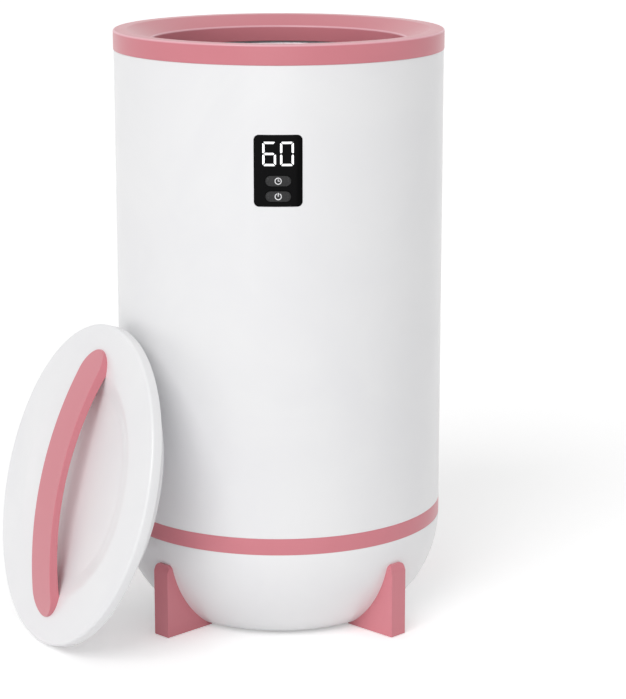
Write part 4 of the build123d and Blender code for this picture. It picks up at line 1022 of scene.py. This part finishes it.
dress(make_foam(), "lid_insulation")

# Chassis and panel holder -------------------------------------------------------------------------
# Dark grey glass-filled plastic: the round plate that closes the bowl, and the frame that holds the
# window and its board.
chassis_grey = plastic("filled_grey_plastic", (92, 92, 95), (80, 80, 84), 0.62, 24.0, 1400.0, 4e-5, dust=0.2,
                       specular=0.35)
dress(chassis_grey, "chassis_plate", "panel_holder")

# Circuit boards -----------------------------------------------------------------------------------
# Green boards for power and display, with a solder mask over copper tracks.


def make_board():
    material, tree, shader = new_material("solder_mask")
    tracks = place(tree, "TexBrick", {"offset": 0.35}, Vector=own_place(tree), Scale=110.0,
                   Mortar_Size=0.06).outputs["Fac"]
    stain = noise(tree, 60.0, 4.0)
    track = maths(tree, "MULTIPLY", tracks, fade(tree, stain, 0.4, 0.55))
    feed(tree, shader, Base_Color=mixed(tree, track, linear(22, 92, 52), linear(46, 128, 78)),
         Roughness=fade(tree, stain, 0.3, 0.7, 0.26, 0.38))
    bump(tree, track, 3.5e-5, shader)
    return material


dress(make_board(), "power_board", "display_board")

# Board parts --------------------------------------------------------------------------------------
# Transformer, relay, capacitors, terminal block, plugs and switches: small mouldings in their usual
# colours, with the thermostat's baked black and the nut of the gland.
black_part = plastic("black_part", (36, 36, 38), (28, 28, 30), 0.48, 80.0, 1800.0, 2e-5, specular=0.4)
dress(black_part, "transformer", "digit_module", "button_switches", "heater_terminal", "gland_nut",
      "thermostat")
dress(plastic("blue_part", (44, 76, 132), (36, 64, 116), 0.4, 70.0, 1800.0, 1.5e-5), "relay", "capacitors")
dress(plastic("green_terminal", (58, 132, 84), (46, 116, 72), 0.46, 70.0, 1800.0, 2e-5), "terminal_block")
dress(plastic("white_nylon", (226, 224, 216), (214, 212, 203), 0.5, 70.0, 1800.0, 2e-5), "cable_plugs",
      "cable_clips")

# Leads --------------------------------------------------------------------------------------------
# Red silicone leads from the heater and the sensors, and the round black cable to the display.
dress(plastic("red_silicone_lead", (176, 40, 36), (156, 32, 30), 0.52, 60.0, 2400.0, 2e-5, dust=0.1),
      "sensor_leads", "heater_leads")
dress(plastic("black_cable", (34, 34, 35), (25, 25, 26), 0.55, 60.0, 2400.0, 2e-5, dust=0.1), "display_cable")

# Floor, light and camera --------------------------------------------------------------------------
# A plain pale floor under soft studio light: one broad lamp at the front left, and an even white
# surround. The floor and the surround look white to the camera and in reflections.
FLOOR_SIZE = 24.0
FLOOR_LIFT = 0.3
SURROUND_LEVEL = 0.55
SUN_FROM = (-1.0, -2.0, 1.9)
SUN_STRENGTH = 1.08
SUN_SPREAD = 34.0
FILL_PLACE, FILL_AIM = (-0.2, -2.3, 0.22), (0.0, 0.0, 0.16)
FILL_SIZE = 1.4
FILL_POWER = 5.0


def seen_directly(tree):
    """One for what the camera, a gloss or a clear piece sees, and nothing for what lights the object."""
    path = place(tree, "LightPath")
    glossy = maths(tree, "MAXIMUM", path.outputs["Is Camera Ray"], path.outputs["Is Glossy Ray"])
    return maths(tree, "MAXIMUM", glossy, path.outputs["Is Transmission Ray"])


bpy.ops.object.select_all(action="DESELECT")
bpy.ops.mesh.primitive_plane_add(size=FLOOR_SIZE)
floor = bpy.context.object
floor.name = floor.data.name = "studio_floor"
floor_white, tree, shader = new_material("floor_white")
feed(tree, shader, Base_Color=linear(250, 250, 250), Roughness=0.7, Specular_IOR_Level=0.2)
lift = maths(tree, "MULTIPLY", seen_directly(tree), FLOOR_LIFT)
glow = place(tree, "Emission", Color=(1, 1, 1, 1), Strength=lift)
both = place(tree, "AddShader", i0=shader.outputs[0], i1=glow.outputs[0])
feed(tree, tree.nodes["Material Output"], Surface=both.outputs[0])
floor.data.materials.append(floor_white)

world = bpy.data.worlds.new("studio_surround")
bpy.context.scene.world = world
world.use_nodes = True
tree = world.node_tree
lift = maths(tree, "MULTIPLY", seen_directly(tree), 1.0 - SURROUND_LEVEL)
feed(tree, tree.nodes["Background"], Strength=maths(tree, "ADD", lift, SURROUND_LEVEL), Color=(1, 1, 1, 1))


def put_up(name, data, at, turned):
    """Stand a lamp or a camera in the scene."""
    holder = bpy.data.objects.new(name, data)
    bpy.context.collection.objects.link(holder)
    holder.location = at
    holder.rotation_euler = turned
    return holder


fill = bpy.data.lights.new("low_fill", "AREA")
fill.size = FILL_SIZE
fill.energy = FILL_POWER
fill_aim = Vector(FILL_AIM) - Vector(FILL_PLACE)
put_up("low_fill", fill, FILL_PLACE, fill_aim.to_track_quat("-Z", "Y").to_euler())
sun = bpy.data.lights.new("key_light", "SUN")
sun.energy = SUN_STRENGTH
sun.angle = radians(SUN_SPREAD)
put_up("key_light", sun, (0, 0, 0), Vector(SUN_FROM).to_track_quat("Z", "Y").to_euler())

CAMERA_PLACE = (0.0141, -2.1894, 0.7514)
CAMERA_DOWN, CAMERA_SIDE = 13.071, 0.441
FOCAL_PIXELS, FRAME_PIXELS = 2408.9, 699
lens = bpy.data.cameras.new("camera")
lens.sensor_width = 36.0
lens.lens = FOCAL_PIXELS / FRAME_PIXELS * lens.sensor_width
lens.clip_end = 60.0
bpy.context.scene.camera = put_up("camera", lens, CAMERA_PLACE,
                                  (radians(90 - CAMERA_DOWN), 0, radians(-CAMERA_SIDE)))
bpy.context.scene.view_settings.view_transform = "Standard"
